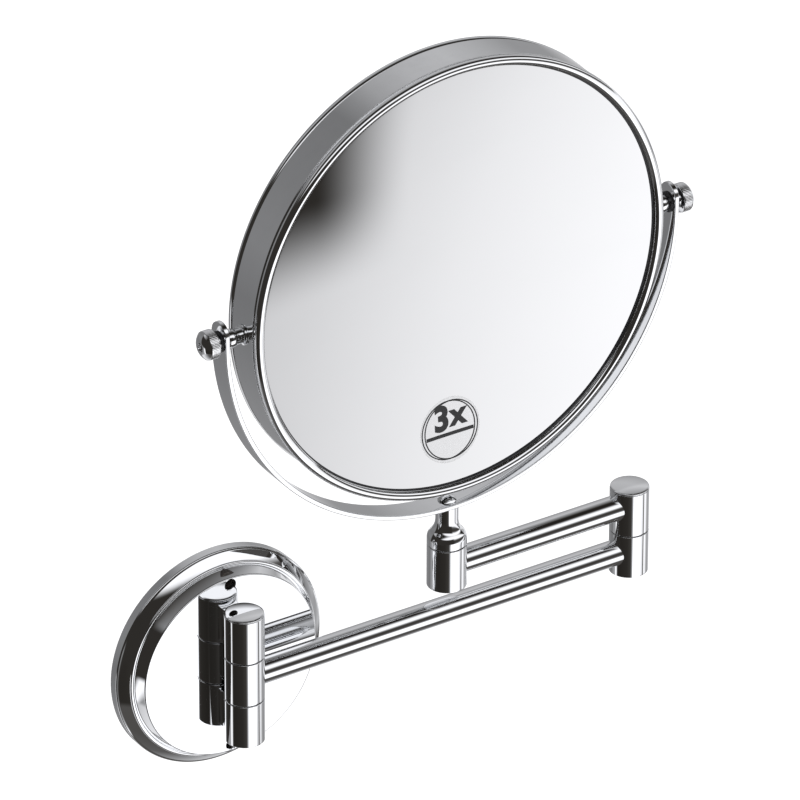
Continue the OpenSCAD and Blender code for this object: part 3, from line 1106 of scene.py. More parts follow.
@dataclass
class WallBracket(Hinge):
    """The wall plate and the fixed pieces of the wall post."""

    body: str = "wall_mount"
    rim_width: float = 8.5
    rim_height: float = 4.8
    bead_out: float = 2.7
    bead_down: float = 5.8
    bead_radius: float = 1.0
    wall: float = 2.4
    hole_inset: float = 3.5
    hole_radius: float = 2.6
    pillar_radius: float = 5.2
    block_width: float = 9.0
    block_height: float = 18.0
    block_edge: float = 0.3

    def build(self) -> None:
        """Builds and dresses the bracket."""
        self.plate()
        self.post()
        self.dress(["post_fixing_screws", "wall_hinge_bolt", "wall_hinge_nut"], ZINC)
        self.dress(["wall_spring_washer"], SPRING)

    def plate(self) -> None:
        """The cast wall plate with its stepped rim, hollow back and two screw holes."""
        box = Box.of("wall_plate")
        radius, height = box.span.x / 2, box.span.y
        disc = radius - self.rim_width
        bead, top = disc + self.bead_out, height - self.bead_down
        pipe, rim = self.bead_radius, self.rim_height
        outline = [
            (0, height),
            (disc - 0.7, height),
            *bend((disc - 0.7, height), (disc - 0.3, height), (disc - 0.1, height - 0.45), 5)[1:],
            *bend(
                (disc - 0.1, height - 0.45), (disc + 1.0, top + 1.6), (bead - pipe + 0.25, top - 0.6), 12
            )[1:],
            *arc((bead, top - pipe), pipe, 142, 35, 12),
            *bend(
                (bead + pipe - 0.1, top - pipe),
                (bead + pipe + 1.9, top - 2.4),
                (radius - 1.0, rim + 0.35),
                18,
            ),
            *arc((radius - 0.9, rim - 0.55), 0.9, 60, 0, 6),
            (radius, 0.25),
            (radius - 0.25, 0),
            (radius - self.wall, 0),
            (radius - self.wall, rim - self.wall),
            (bead + 0.8, rim - 0.4),
            (disc + 0.3, rim),
            (disc - self.wall, top - 0.8),
            (disc - self.wall, height - self.wall),
            (0, height - self.wall),
        ]
        place = Vector((box.mid.x, box.hi.y, box.mid.z))
        piece = Shape().turned(outline, place, Way.OUT, 256, closed=False).piece(
            "wall_plate_cast", self.finishes.get(PLATE_CHROME)
        )
        hole, under = self.hole_radius, height - self.wall
        flared = [
            (0, -1),
            (hole, -1),
            (hole, height - 0.35),
            (hole + 0.35, height),
            (hole + 1.35, height + 1),
            (0, height + 1),
        ]
        sleeve = [(hole, 0), (self.pillar_radius, 0), (self.pillar_radius, under), (hole, under)]
        tools, pillars = [], Shape()
        for side in (-1, 1):
            at = place + Vector((0, 0, side * (disc - self.hole_inset)))
            tools.append(Shape().turned(flared, at, Way.OUT, 64, closed=False).piece("hole_tool"))
            pillars.turned(sleeve, at, Way.OUT, 64)
        self.cut(piece, tools)
        self.fit(piece, "polished_chrome", "wall_plate")
        self.make(pillars, "wall_plate_pillars", CAST, "polished_chrome")

    def post(self) -> None:
        """The fixed segments with their blocks, the washers, the cap and the plug."""
        plate = Box.of("wall_plate")
        axis_y = self.post_axis_y()
        half = Vector((self.block_width / 2, 0, self.block_height / 2))
        for node, sign in (("wall_post_top", 1), ("wall_post_bottom", -1)):
            box = Box.of(node)
            shape = self.barrel(node, self.recess("wall_post_plug", sign))
            root = Vector((box.mid.x, plate.lo.y, box.mid.z))
            front = Vector((root.x, axis_y + self.bore * 1.6, root.z))
            shape.block(front - half, root + half, self.block_edge)
            self.make(shape, f"{node}_segment", POST_CHROME, "polished_chrome", node)
        self.washer("wall_friction_washers")
        self.cap("wall_post_cap", "polished_chrome")
        self.plug("wall_post_plug", "polished_chrome")


@dataclass
class LowerArm(Hinge):
    """The rotating wall segment, the lower tube and the lower half of the elbow."""

    body: str = "lower_arm"

    def build(self) -> None:
        """Builds and dresses the lower arm."""
        self.segment("wall_hub", "arm_chrome")
        self.tube("lower_arm_tube", "arm_chrome")
        self.segment("elbow_lower_hub", "arm_chrome", self.recess("elbow_plug", -1))
        self.plug("elbow_plug", "arm_chrome")
        self.washer("elbow_friction_washer")
        self.dress(["elbow_bolt", "elbow_nut"], ZINC)
        self.dress(["elbow_spring_washer"], SPRING)
        self.dress(["wall_hub_bush"], ACETAL)


@dataclass
class UpperArm(Hinge):
    """The upper half of the elbow, the upper tube and the swivel hub."""

    body: str = "upper_arm"

    def build(self) -> None:
        """Builds and dresses the upper arm."""
        self.segment("elbow_upper_hub", "arm_chrome", self.recess("swivel_plug", 1))
        self.cap("elbow_cap", "arm_chrome")
        self.tube("upper_arm_tube", "arm_chrome")
        self.segment("swivel_hub", "arm_chrome", self.recess("swivel_plug", -1))
        self.plug("swivel_plug", "arm_chrome")
        self.dress(["elbow_bush", "swivel_bush"], ACETAL)


@dataclass
class YokeAssembly(Hinge):
    """The swivel neck, the half-ring yoke with its screw and the pivot washers."""

    body: str = "yoke_assembly"
    foot: float = 4.1
    shoulder: float = 8.0
    neck_radius: float = 5.2
    bevel: float = 0.45
    thick: float = 2.2
    hole_radius: float = 2.62
    washer_bore: float = 2.58
    screw_head: float = 4.3
    screw_seat: float = 2.3

    def build(self) -> None:
        """Builds and dresses the yoke assembly."""
        self.neck()
        self.yoke()
        self.screw()
        for side in ("left", "right"):
            for place in ("outer", "inner"):
                self.pivot_washer(f"{place}_washer_{side}")
        self.washer("swivel_friction_washer")
        self.dress(["swivel_stud", "swivel_nut"], ZINC)
        self.dress(["swivel_spring_washer"], SPRING)

    def neck(self) -> None:
        """The bottle-shaped neck, with a saddle that fits the yoke."""
        box, yoke, casing = Box.of("swivel_neck"), Box.of("yoke"), Box.of("casing")
        low = box.lo.z
        radius, neck = self.post_radius(), self.neck_radius
        throat = low + self.foot + self.shoulder
        top = yoke.lo.z
        outline = [
            (self.bore, low),
            *rounded([(radius - 1.5, low), (radius, low, 0.32), (radius, low + 1.5)])[1:-1],
            *bend((radius, low + 2.6), (radius, low + 5.1), (radius - 1.9, low + 6.9), 16),
            *bend((radius - 1.9, low + 6.9), (neck + 0.25, low + 8.6), (neck, throat), 18)[1:],
            (neck, top),
            (self.bore, top),
        ]
        shape = Shape().turned(outline, Vector((box.mid.x, box.mid.y, 0)), hold=0.2)
        pivot, reach = casing.mid.z, casing.mid.z - top
        for vert in shape.bm.verts:
            if abs(vert.co.z - top) < 1e-3:
                across = vert.co.x - box.mid.x
                vert.co.z = pivot - math.sqrt(reach * reach - across * across) - 0.01
        self.make(shape, "swivel_neck_turned", POST_CHROME, "yoke_chrome", "swivel_neck")

    def yoke(self) -> None:
        """The yoke: flat strip bent to a half ring, with round ends and broken edges."""
        box = Box.of("yoke")
        pivot = Vector((box.mid.x, box.mid.y, Box.of("casing").mid.z))
        outer = box.span.x / 2
        inner = outer - self.thick
        half = box.span.y / 2
        tip = max(0.0, box.hi.z - pivot.z - half)
        strip = self._strip(pivot, inner, outer, half, tip)
        piece = strip.piece("yoke_formed", self.finishes.get(YOKE_CHROME))
        tools = []
        side, foot = (inner - 2, outer + 2), (-outer - 2, -inner + 2)
        for way, (start, end) in ((Way.LEFT, side), (Way.RIGHT, side), (Way.UP, foot)):
            hole = [(0, start), (self.hole_radius, start), (self.hole_radius, end), (0, end)]
            tools.append(Shape().turned(hole, pivot, way, 48, closed=False).piece("hole_tool"))
        self.cut(piece, tools)
        self.fit(piece, "yoke_chrome", "yoke")

    def _strip(self, pivot: Vector, inner: float, outer: float, half: float, tip: float) -> Shape:
        """The strip, laid out flat and then bent.

        Args:
            pivot: Centre of the half ring.
            inner: Inner radius.
            outer: Outer radius.
            half: Half the strip's width, which is also the ends' radius.
            tip: Length of the straight ends beyond the half ring.

        Returns:
            The shape.
        """
        shape = Shape()
        straight, around = 150, 14
        quarter = math.pi / 2
        ends = [math.radians(90 * i / around) for i in range(1, around + 1)]

        def bent(along: float, across: float, height: float) -> Vector:
            """A point of the strip, with `along` an angle up to the ends and a length beyond."""
            if abs(along) <= quarter:
                x, z = height * math.sin(along), -height * math.cos(along)
            else:
                x, z = math.copysign(height, along), abs(along) - quarter
            return pivot + Vector((x, across, z))

        def loop(inset: float, height: float) -> list:
            """One closed loop round the strip, at an inset from its edge."""
            reach = half - inset
            flat = [quarter * (2 * i / straight - 1) for i in range(straight + 1)]

            def end(sign: int) -> list[Vector]:
                """The points round one end, the right one where sign is 1."""
                halves = [(t, sign) for t in ends] + [(t, -sign) for t in reversed(ends[:-1])]
                return [
                    bent(sign * (quarter + tip + reach * math.sin(t)), side * reach * math.cos(t), height)
                    for t, side in halves
                ]

            points = [bent(a, reach, height) for a in flat] + end(1)
            points += [bent(a, -reach, height) for a in reversed(flat)] + end(-1)
            return [shape.bm.verts.new(p) for p in points]

        section = self._edge_section(inner, outer, self.bevel)
        loops = [loop(inset, height) for inset, height in section]
        for low, high in zip(loops, loops[1:]):
            shape._band(low, high)
        for ring in (loops[0], loops[-1]):
            self._lid(shape, ring, straight, len(ends))
        return shape

    @staticmethod
    def _edge_section(inner: float, outer: float, bevel: float) -> list[Point]:
        """Insets and heights from the inner face round the edge to the outer face.

        Args:
            inner: Height of the inner face.
            outer: Height of the outer face.
            bevel: Radius of the broken edges.

        Returns:
            Pairs of inset and height.
        """
        turns = [math.radians(15 * i) for i in range(7)]
        low = [(bevel - bevel * math.sin(t), inner + bevel - bevel * math.cos(t)) for t in turns]
        high = [(inset, inner + outer - height) for inset, height in reversed(low)]
        flat = [(0.0, inner + bevel + 0.1), (0.0, outer - bevel - 0.1)]
        return [(bevel + 0.15, inner), *low, *flat, *high, (bevel + 0.15, outer)]

    @staticmethod
    def _lid(shape: Shape, ring: list, straight: int, ends: int) -> None:
        """Fills one face of the strip with quads across it.

        Args:
            shape: The shape.
            ring: The loop round the face.
            straight: Steps along the half ring.
            ends: Steps round each quarter of the round ends.
        """
        count = len(ring)
        start = straight + ends
        for i in range(count // 2):
            a, b = start - i, start + i
            corners = dict.fromkeys(ring[k % count] for k in (a, a - 1, b + 1, b))
            if len(corners) > 2:
                shape.bm.faces.new(list(corners))

    def screw(self) -> None:
        """The domed screw that holds the yoke on the neck."""
        box = Box.of("yoke_screw")
        head, top = self.screw_head, box.hi.z
        seat = Box.of("yoke").lo.z + self.screw_seat
        outline = [
            (0, top),
            *bend((0.3, top - 0.01), (head * 0.66, top - 0.1), (head, seat + 0.35), 20),
            (head, seat + 0.1),
            (head - 0.1, seat),
            (2.5, seat),
            (2.5, box.lo.z + 0.4),
            (2.1, box.lo.z),
            (0, box.lo.z),
        ]
        origin = Vector((box.mid.x, box.mid.y, 0))
        shape = Shape().turned(outline, origin, steps=96, closed=False, hold=0.08)
        self.make(shape, "yoke_screw_domed", YOKE_CHROME, "yoke_chrome", "yoke_screw")

    def pivot_washer(self, node: str) -> None:
        """A plastic washer beside the yoke.

        Args:
            node: The CAD node that it stands for.
        """
        box = Box.of(node)
        radius, bore, thick = box.span.z / 2, self.washer_bore, box.span.x
        outline = rounded([(bore, 0), (radius, 0, 0.18), (radius, thick, 0.18), (bore, thick)], 4)
        origin = Vector((box.lo.x, box.mid.y, box.mid.z))
        shape = Shape().turned(outline, origin, Way.RIGHT, 96, hold=0.08)
        self.make(shape, f"{node}_nylon", NYLON, "black_nylon", node)


@dataclass
class Knob(SubAssembly):
    """A knurled knob with a cone face and a dimple."""

    side: str = "left"
    ticks: int = 54
    tick_depth: float = 0.07
    collar: float = 1.8
    band: float = 4.6
    row: float = 0.35

    def build(self) -> None:
        """Builds and dresses the knob."""
        self.body = f"{self.side}_knob"
        node = f"knob_{self.side}"
        box = Box.of(node)
        way = Way.LEFT if self.side == "left" else Way.RIGHT
        origin = Vector((box.hi.x if self.side == "left" else box.lo.x, box.mid.y, box.mid.z))
        radius, length = box.span.z / 2, box.span.x
        foot, top = self.collar, self.collar + self.band
        rows = int((self.band - 1.0) / self.row) + 1
        outline = [
            (0, 0.3),
            (2.4, 0.3),
            (2.6, 0.0),
            *rounded(
                [(3.4, 0.0), (4.0, 0.0, 0.15), (4.0, foot - 0.4, 0.2), (radius - 1.0, foot - 0.05)]
            )[1:],
            *arc((radius - 0.5, foot + 0.4), 0.4, -90, 0, 5),
            *[(radius - 0.02, foot + 0.5 + self.row * i) for i in range(rows)],
            *arc((radius - 0.5, top - 0.4), 0.4, 0, 70, 5),
            *bend((radius - 0.5, top + 0.1), (4.7, length - 0.35), (2.6, length - 0.02), 20),
            (2.35, length),
            (2.1, length - 0.06),
            (1.95, length - 0.3),
            *bend((1.7, top + 0.9), (1.2, top + 0.62), (0.0, top + 0.6), 6),
        ]
        shape = Shape().turned(outline, origin, way, self.ticks * 8, closed=False, hold=0.1)
        axis = Vector(way.value[2])
        for vert in shape.bm.verts:
            self._knurl(vert, origin, axis, radius, foot, top)
        self.make(shape, f"{node}_knurled", KNOB_CHROME, "knob_chrome", node)
        self.dress([f"knob_stud_{self.side}"], ZINC)

    def _knurl(
        self,
        vert: bmesh.types.BMVert,
        origin: Vector,
        axis: Vector,
        radius: float,
        foot: float,
        top: float,
    ) -> None:
        """Presses the knurl's ticks into a point of the band.

        Args:
            vert: The point.
            origin: The knob's foot on its axis.
            axis: Which way it points.
            radius: The knob's radius.
            foot: Start of the band.
            top: End of the band.
        """
        height = (vert.co - origin).dot(axis)
        out = vert.co - origin - axis * height
        if out.length < radius - 0.55 or not foot + 0.2 < height < top - 0.1:
            return
        fade = min(1.0, (height - foot - 0.2) / 0.5, (top - 0.1 - height) / 0.5)
        turn = math.atan2(out.z, out.y)
        wave = (0.5 - 0.5 * math.cos(self.ticks * turn)) ** 6
        vert.co = vert.co - out.normalized() * (self.tick_depth * wave * fade)


@dataclass
class Head(SubAssembly):
    """The two-sided mirror head: casing, bezels, glasses, label and pivot spacers."""

    body: str = "mirror"
    bead: float = 2.3
    glass_back: float = 2.0
    seat_share: float = 0.63
    foot_share: float = 0.93
    casing_wall: float = 1.2
    skirt_inset: float = 1.25
    skirt_width: float = 1.0
    skirt_depth: float = 3.2
    # Width of the black ring that paints the gap shadow at the glass's edge.
    painted_shadow_ring_width: float = 0.6
    spacer_bore: float = 2.56
    spacer_spigot: float = 3.45
    waist_share: float = 0.63

    def build(self) -> None:
        """Builds and dresses the head."""
        self.centre = Box.of("casing").mid
        self.depth = (Box.of("rear_bezel").hi.y - Box.of("front_bezel").lo.y) / 2
        self.casing()
        for node, way in (("front_bezel", Way.OUT), ("rear_bezel", Way.BACK)):
            self.bezel(node, way)
        self.magnifying_glass()
        self.plain_glass()
        # A black ring as painted shade where the glass meets the bead.
        self.painted_shadow_ring()
        self.label()
        for side, way in (("left", Way.LEFT), ("right", Way.RIGHT)):
            self.spacer(side, way)
        self.dress(["pivot_insert_left", "pivot_insert_right"], BRASS)
        self.dress(["core_frame"], CORE)
        self.dress(["backing_board"], BOARD)

    def casing(self) -> None:
        """The rolled band between the bezels, with rounded rims."""
        box = Box.of("casing")
        radius, half = box.span.x / 2, box.span.y / 2
        inner = radius - self.casing_wall
        outline = rounded(
            [(inner, -half), (radius, -half, 0.35), (radius, half, 0.35), (inner, half)], 5
        )
        shape = Shape().turned(outline, self.centre, Way.OUT, 320, hold=0.25)
        self.make(shape, "casing_rolled", CASING_CHROME, "casing_chrome", "casing")

    def bezel(self, node: str, way: Way) -> None:
        """A spun bezel with its round bead and its skirt.

        Args:
            node: The CAD node that it stands for.
            way: Which way it faces.
        """
        radius = Box.of(node).span.x / 2
        pipe = self.bead
        middle = (radius - pipe, self.depth - pipe)
        seat = self.depth - 2 * pipe * self.seat_share
        foot = self.depth - 2 * pipe * self.foot_share
        reach = math.degrees(math.asin((middle[1] - seat) / pipe))
        heel = math.degrees(math.asin((middle[1] - foot) / pipe))
        skirt = Box.of("casing").span.x / 2 - self.skirt_inset
        outline = [
            *arc(middle, pipe, -heel, 180 + reach, 44),
            (skirt - self.skirt_width, seat),
            (skirt - self.skirt_width, foot - self.skirt_depth),
            (skirt, foot - self.skirt_depth),
            (skirt, foot),
        ]
        shape = Shape().turned(outline, self.centre, way, 320, hold=0.1)
        self.make(shape, f"{node}_spun", BEZEL_CHROME, "bezel_chrome", node)

    def dish(self, radius: float) -> float:
        """Height of the magnifying glass's front over the head's middle plane.

        Args:
            radius: Distance from the glass's middle.

        Returns:
            The height.
        """
        box = Box.of("magnifying_glass")
        rim = box.span.x / 2
        front = self.centre.y - box.lo.y
        depth = box.span.y - self.glass_back
        return front - depth * (1 - (radius / rim) ** 2)

    def magnifying_glass(self) -> None:
        """The concave glass, with ground edges."""
        box = Box.of("magnifying_glass")
        rim = box.span.x / 2
        radii = [rim * i / 40 for i in range(41)]
        front = [(r, self.dish(r)) for r in radii[:-1]] + [(rim - 0.2, self.dish(rim))]
        back = [(r, self.dish(r) - self.glass_back) for r in reversed(radii)]
        outline = [*front, (rim, self.dish(rim) - 0.2), *back]
        shape = Shape().turned(outline, self.centre, Way.OUT, 256, False, 5.0)
        node = "magnifying_glass"
        self.make(shape, f"{node}_silvered", FRONT_SILVER, "magnifying_silver", node)

    def painted_shadow_ring(self) -> None:
        """A thin black ring between the front bezel's bead and the glass: painted shade for the dark gap
        shadow at the glass's edge.
        """
        inner = Box.of("front_bezel").span.x / 2 - 2 * self.bead - self.painted_shadow_ring_width
        outer = inner + self.painted_shadow_ring_width + 0.5
        low, high = self.dish(inner) + 0.02, self.dish(outer) + 0.45
        outline = rounded([(inner, low), (outer, low), (outer, high), (inner, low + 0.4, 0.3)], 4)
        shape = Shape().turned(outline, self.centre, Way.OUT, 256, hold=0.1)
        self.make(shape, "front_glass_painted_shadow_ring", NYLON, "black_nylon")

    def plain_glass(self) -> None:
        """The flat glass at the back, with ground edges."""
        box = Box.of("plain_glass")
        radius, thick = box.span.x / 2, box.span.y
        outline = rounded([(0, thick), (radius, thick, 0.3), (radius, 0, 0.2), (0, 0)], 3)
        origin = Vector((self.centre.x, box.lo.y, self.centre.z))
        shape = Shape().turned(outline, origin, Way.BACK, 256, closed=False)
        self.make(shape, "plain_glass_silvered", REAR_SILVER, "plain_silver", "plain_glass")

    def label(self) -> None:
        """The round clear label that follows the dish, with its printed rings, numeral and bar; of the
        two rings, offset to either side, one is a painted reflection of the print in the silver behind
        the glass.
        """
        box = Box.of("magnification_label")
        place, radius = box.mid, box.span.x / 2
        sheet = [(0, 0), *[(radius * i / 12, 0) for i in range(1, 13)]]
        film = Shape().turned(sheet, Vector((place.x, 0, place.z)), Way.OUT, 96, False, 9.0)
        self._drape(film, 0.06)
        finish = Film("clear_label_film", tuple(place * MM), radius * MM)
        self.make(film, "label_film", finish, "clear_label", "magnification_label")
        rings = Shape()
        # One ring is the print and the other is a painted reflection of it in the silver behind the
        # glass.
        for side in (-1, 1):
            centre = Vector((place.x + side * radius * 0.047, 0, place.z))
            rings.turned([(radius * 0.865, 0), (radius * 0.9, 0)], centre, Way.OUT, 128, False, 9.0)
        self._bar(rings, place.x, place.z - radius * 0.13, radius * 1.58, radius * 0.105)
        self._numeral(rings, "3", place.x - radius * 0.26, place.z + radius * 0.40, radius * 1.05)
        self._numeral(rings, "x", place.x + radius * 0.30, place.z + radius * 0.32, radius * 0.95)
        self._drape(rings, 0.09)
        self.make(rings, "label_print_and_painted_reflection", PRINT_AND_PAINTED_REFLECTION_INK, "clear_label")

    def _bar(self, shape: Shape, x: float, z: float, length: float, height: float) -> None:
        """A plain printed bar.

        Args:
            shape: The shape that it joins.
            x: Its middle.
            z: Its middle.
            length: Its length.
            height: Its height.
        """
        steps = 16
        rows = [
            [shape.bm.verts.new((x + length * (i / steps - 0.5), 0, z + dz)) for i in range(steps + 1)]
            for dz in (-height / 2, height / 2)
        ]
        for i in range(steps):
            shape.bm.faces.new([rows[0][i], rows[0][i + 1], rows[1][i + 1], rows[1][i]])

    def _numeral(self, shape: Shape, sign: str, x: float, z: float, height: float) -> None:
        """A heavy numeral or sign from the built-in face, laid flat.

        Args:
            shape: The shape that it joins.
            sign: The character.
            x: Its middle.
            z: Its middle.
            height: The size of the face.
        """
        curve = bpy.data.curves.new("label_sign", "FONT")
        curve.body = sign
        curve.size = height
        curve.offset = height * 0.04
        curve.resolution_u = 6
        holder = bpy.data.objects.new("label_sign", curve)
        bpy.context.scene.collection.objects.link(holder)
        bpy.context.view_layer.update()
        graph = bpy.context.evaluated_depsgraph_get()
        mesh = bpy.data.meshes.new_from_object(holder.evaluated_get(graph))
        bpy.data.objects.remove(holder)
        bpy.data.curves.remove(curve)
        xs = [v.co.x for v in mesh.vertices]
        ys = [v.co.y for v in mesh.vertices]
        mid = ((min(xs) + max(xs)) / 2, (min(ys) + max(ys)) / 2)
        verts = [
            shape.bm.verts.new((x + v.co.x - mid[0], 0, z + v.co.y - mid[1]))
            for v in mesh.vertices
        ]
        for face in mesh.polygons:
            shape.bm.faces.new([verts[i] for i in face.vertices])
        bpy.data.meshes.remove(mesh)

    def _drape(self, shape: Shape, lift: float) -> None:
        """Lays a flat shape on the dish.

        Args:
            shape: The shape, which is flat.
            lift: Its distance in front of the glass.
        """
        for vert in shape.bm.verts:
            reach = math.hypot(vert.co.x - self.centre.x, vert.co.z - self.centre.z)
            vert.co.y = self.centre.y - self.dish(reach) - lift

    def spacer(self, side: str, way: Way) -> None:
        """A turned spacer between the yoke and the casing.

        Args:
            side: Left or right.
            way: Which way it points.
        """
        node = f"pivot_spacer_{side}"
        box, casing = Box.of(node), Box.of("casing")
        radius = box.span.z / 2
        foot = casing.span.x / 2 + 0.05
        end = (box.hi.x - self.centre.x) if side == "right" else (self.centre.x - box.lo.x)
        start = end - box.span.x
        ball = radius - 0.5
        bore, spigot = self.spacer_bore, self.spacer_spigot
        waist = bore + (ball - bore) * self.waist_share
        lean = math.degrees(math.acos(waist / ball))
        middle = end - ball * math.sin(math.radians(lean)) - 0.5
        outline = [
            (bore, start),
            (spigot, start),
            (spigot, foot),
            *rounded(
                [
                    (spigot + 0.15, foot),
                    (radius, foot, 0.15),
                    (radius, foot + 0.8, 0.3),
                    (waist, foot + 1.3, 0.15),
                    (waist, middle - 3),
                ],
                4,
            )[1:-1],
            *arc((0, middle), ball, -lean, lean, 20),
            (waist, end),
            (bore, end),
        ]
        shape = Shape().turned(outline, self.centre, way, 96, hold=0.08)
        self.make(shape, f"{node}_turned", KNOB_CHROME, "knob_chrome", node)


# ---- studio ---------------------------------------------------------------------------------


@dataclass
class Studio:
    """Pale floor, soft studio light and the camera."""

    azimuth: float = -33.067
    elevation: float = 29.71
    roll: float = 0.16
    lens: float = 405.0
    distance: float = 3.970
    aim: tuple[float, float, float] = (0.09812, 0.0, 0.096712)
    plating: float = 0.90

    def build(self) -> None:
        """Sets up the whole studio."""
        bpy.context.scene.view_settings.view_transform = "Standard"
        self.camera()
        self.floor()
        self.light()
        log.info("studio ready")

    def directions(self) -> tuple[Vector, Vector, Vector]:
        """Right, up and back directions of the camera before its roll."""
        a, e = math.radians(self.azimuth), math.radians(self.elevation)
        back = Vector((math.sin(a) * math.cos(e), -math.cos(a) * math.cos(e), math.sin(e)))
        right = Vector((math.cos(a), math.sin(a), 0.0))
        return right, back.cross(right), back

    def camera(self) -> None:
        """Makes the camera."""
        data = bpy.data.cameras.new("camera")
        data.lens = self.lens
        data.sensor_width = 36.0
        data.clip_start, data.clip_end = 0.1, 60.0
        camera = bpy.data.objects.new("camera", data)
        bpy.context.scene.collection.objects.link(camera)
        right, up, back = self.directions()
        r = math.radians(self.roll)
        across = right * math.cos(r) + up * math.sin(r)
        upward = up * math.cos(r) - right * math.sin(r)
        turn = Matrix((across, upward, back)).transposed()
        place = Matrix.Translation(Vector(self.aim) + back * self.distance)
        camera.matrix_world = place @ turn.to_4x4()
        bpy.context.scene.camera = camera

    def floor(self) -> None:
        """A wide pale floor some way below the mirror, which the chrome doesn't show."""
        lo, _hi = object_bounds()
        mesh = bpy.data.meshes.new("floor")
        bm = bmesh.new()
        bmesh.ops.create_grid(bm, x_segments=8, y_segments=8, size=20.0)
        bm.to_mesh(mesh)
        bm.free()
        floor = bpy.data.objects.new("floor", mesh)
        floor.location = (0, 0, lo.z - 0.2)
        bpy.context.scene.collection.objects.link(floor)
        material, s = new_material("pale_floor", (1, 1, 1))
        tone = s.noise(s.place(), 0.8, 2.0, 0.5)
        shade = s.add(
            "ShaderNodeBsdfPrincipled",
            {},
            {
                "Base Color": s.mix(tone, (0.93, 0.93, 0.93), (0.96, 0.96, 0.96)),
                "Roughness": 0.9,
                "Emission Color": (1.0, 1.0, 1.0, 1.0),
                "Emission Strength": 0.92,
            },
        )
        clear = s.add("ShaderNodeBsdfTransparent")
        behind = s.add("ShaderNodeNewGeometry", out="Backfacing")
        both = s.add("ShaderNodeMixShader", {}, {0: behind, 1: shade, 2: clear})
        s.add("ShaderNodeOutputMaterial", {}, {"Surface": both})
        mesh.materials.append(material)
        floor.visible_glossy = False
        floor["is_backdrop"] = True

    def tone(self, level: float) -> float:
        """Light that shows as a level from 0 to 255 in the plating."""
        v = level / 255
        linear = v / 12.92 if v <= 0.04045 else ((v + 0.055) / 1.055) ** 2.4
        return linear / self.plating

    def band(self, s: Shader, angle: Sock, levels: Sequence[tuple[float, float]]) -> Sock:
        """Soft cards and flags round one circle.

        Args:
            s: The world's shader.
            angle: The angle round the circle, in radians.
            levels: Pairs of angle in degrees and level from 0 to 255.

        Returns:
            The light as a colour.
        """
        place = angle / (2 * math.pi) + 0.5
        stops = []
        for degrees, level in levels:
            value = self.tone(level)
            warm = max(0.0, 1 - level / 110)
            colour = (value * (1 + 0.16 * warm), value, value * (1.02 - 0.22 * warm))
            stops.append((degrees / 360 + 0.5, colour))
        return s.add("ShaderNodeValToRGB", {"stops": stops}, {"Fac": place})

    def dark(self, level: float) -> Colour:
        """A dark, slightly warm flag.

        Args:
            level: How it shows in the plating, from 0 to 255.

        Returns:
            Its colour.
        """
        value = self.tone(level)
        return value * 1.1, value, value * 0.9

    def light(self) -> None:
        """Soft cards and dark flags on a far sphere, with a plain white backdrop for the eye."""
        world = bpy.data.worlds.new("studio")
        world.use_nodes = True
        bpy.context.scene.world = world
        s = Shader(world.node_tree)
        x, y, z = self._split(s, s.add("ShaderNodeTexCoord", out="Generated"))
        right, _up, back = self.directions()
        facing = Vector((back.x, back.y)).normalized()
        towards = x * facing.x + y * facing.y
        across = x * right.x + y * right.y
        low = self.band(s, across.math("ARCTAN2", towards), LOW_CARDS)
        high = self.band(s, z.math("ARCTAN2", y * -1.0), HIGH_CARDS)
        flag = self._step(s, x, 0.30, 0.05) * self._step(s, z, 0.60, 0.46)
        high = s.mix(flag, high, self.dark(44))
        rear = self.band(s, z.math("ARCTAN2", x), REAR_CARDS)
        ground = self.band(s, y * math.pi, GROUND_CARDS)
        fore = self._step(s, y, -0.60, -0.70)
        under = self._step(s, z - fore * 0.12, -0.30, -0.40)
        colour = s.mix(under, high, low)
        side = self._step(s, x, 0.52, 0.60) * self._step(s, z, -0.50, -0.58)
        colour = s.mix(side, colour, self.dark(50))
        below = self._step(s, z, -0.66, -0.72) * self._step(s, y, -0.60, -0.54)
        colour = s.mix(below, colour, ground)
        colour = s.mix(self._step(s, y, 0.60, 0.68), colour, rear)
        seen = s.add("ShaderNodeLightPath", out="Is Camera Ray")
        colour = s.mix(seen, colour, (1.0, 1.0, 1.0))
        glow = s.add("ShaderNodeBackground", {}, {"Color": colour, "Strength": 1.0})
        s.add("ShaderNodeOutputWorld", {}, {"Surface": glow})

    @staticmethod
    def _split(s: Shader, way: Sock) -> tuple[Sock, Sock, Sock]:
        """The three parts of a direction.

        Args:
            s: The world's shader.
            way: The direction.

        Returns:
            Its X, Y and Z.
        """
        axes = ((1, 0, 0), (0, 1, 0), (0, 0, 1))
        return tuple(s.vector("DOT_PRODUCT", way, axis, out="Value") for axis in axes)

    @staticmethod
    def _step(s: Shader, value: Sock, start: float, end: float) -> Sock:
        """A soft step from 0 at start to 1 at end.

        Args:
            s: The world's shader.
            value: The value.
            start: Where the step starts.
            end: Where it ends.

        Returns:
            The step.
        """
        return s.add(
            "ShaderNodeMapRange",
            {"interpolation_type": "SMOOTHSTEP"},
            {"Value": value, "From Min": start, "From Max": end},
        )


# Angle in degrees and level from 0 to 255 of every card and flag round a circle.

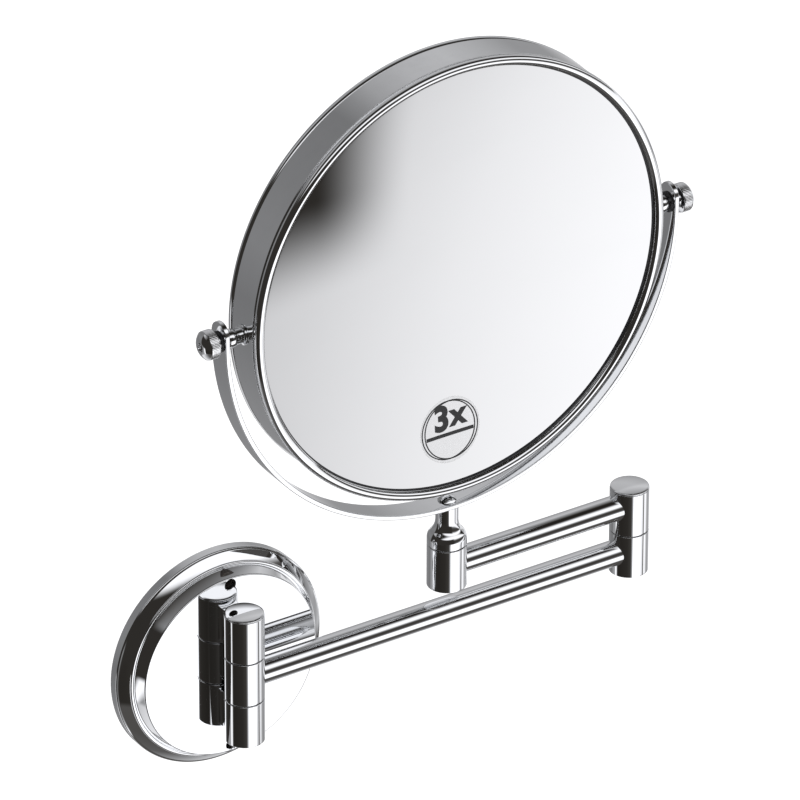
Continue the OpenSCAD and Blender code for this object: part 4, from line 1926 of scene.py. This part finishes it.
# Round the horizon, for directions that point down, from the side that faces the camera.
LOW_CARDS = [
    (-180, 250), (-165, 200), (-150, 142), (-92, 150), (-87, 150), (-81, 262), (-75, 262),
    (-69, 60), (-62, 34), (-10, 42), (12, 56), (20, 170), (25, 300), (53, 297), (66, 276),
    (77, 250), (85, 236), (86.5, 40), (90.5, 40), (92, 150), (96, 262), (106, 262), (118, 170),
    (134, 155), (150, 205), (165, 250), (180, 250),
]
# Over the top from front to back, for all other directions.
HIGH_CARDS = [
    (-180, 226), (-130, 226), (-99, 157), (-81, 135), (-66, 86), (-54, 76), (-47, 90),
    (-38, 200), (-28, 262), (-16, 250), (-8, 110), (-2, 68), (5, 57), (14, 56), (20, 90),
    (26, 180), (32, 262), (50, 262), (57, 200), (64, 90), (70, 36), (82, 29), (92, 37),
    (101, 88), (112, 131), (123, 166), (136, 200), (150, 185), (168, 160), (180, 200),
]
# Over the top from side to side, for directions that point to the back.
REAR_CARDS = [
    (-180, 127), (-153, 115), (-133, 118), (-93, 132), (-60, 136), (-50, 230), (-44, 250),
    (-36, 190), (-13, 147), (7, 148), (27, 170), (47, 184), (67, 177), (87, 157), (97, 135),
    (107, 117), (147, 121), (167, 126), (180, 127),
]
# From front to back, for directions that point almost straight down.
GROUND_CARDS = [
    (-180, 76), (-54, 76), (-10, 90), (24, 150), (90, 226), (180, 226),
]


def main(nodes: dict[str, bpy.types.Object]) -> None:
    """Builds every sub-assembly in order and reports its pieces.

    Args:
        nodes: The frame's nodes by name.
    """
    finishes = Finishes()
    parts: list[SubAssembly] = [
        WallBracket(nodes, finishes),
        LowerArm(nodes, finishes),
        UpperArm(nodes, finishes),
        YokeAssembly(nodes, finishes),
        Head(nodes, finishes),
        Knob(nodes, finishes, side="left"),
        Knob(nodes, finishes, side="right"),
    ]
    for part in parts:
        part.build()
    Studio().build()


if __name__ == "__main__":
    logging.basicConfig(level=logging.INFO, format="%(name)s: %(message)s")
    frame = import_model()
    main(frame["nodes"])
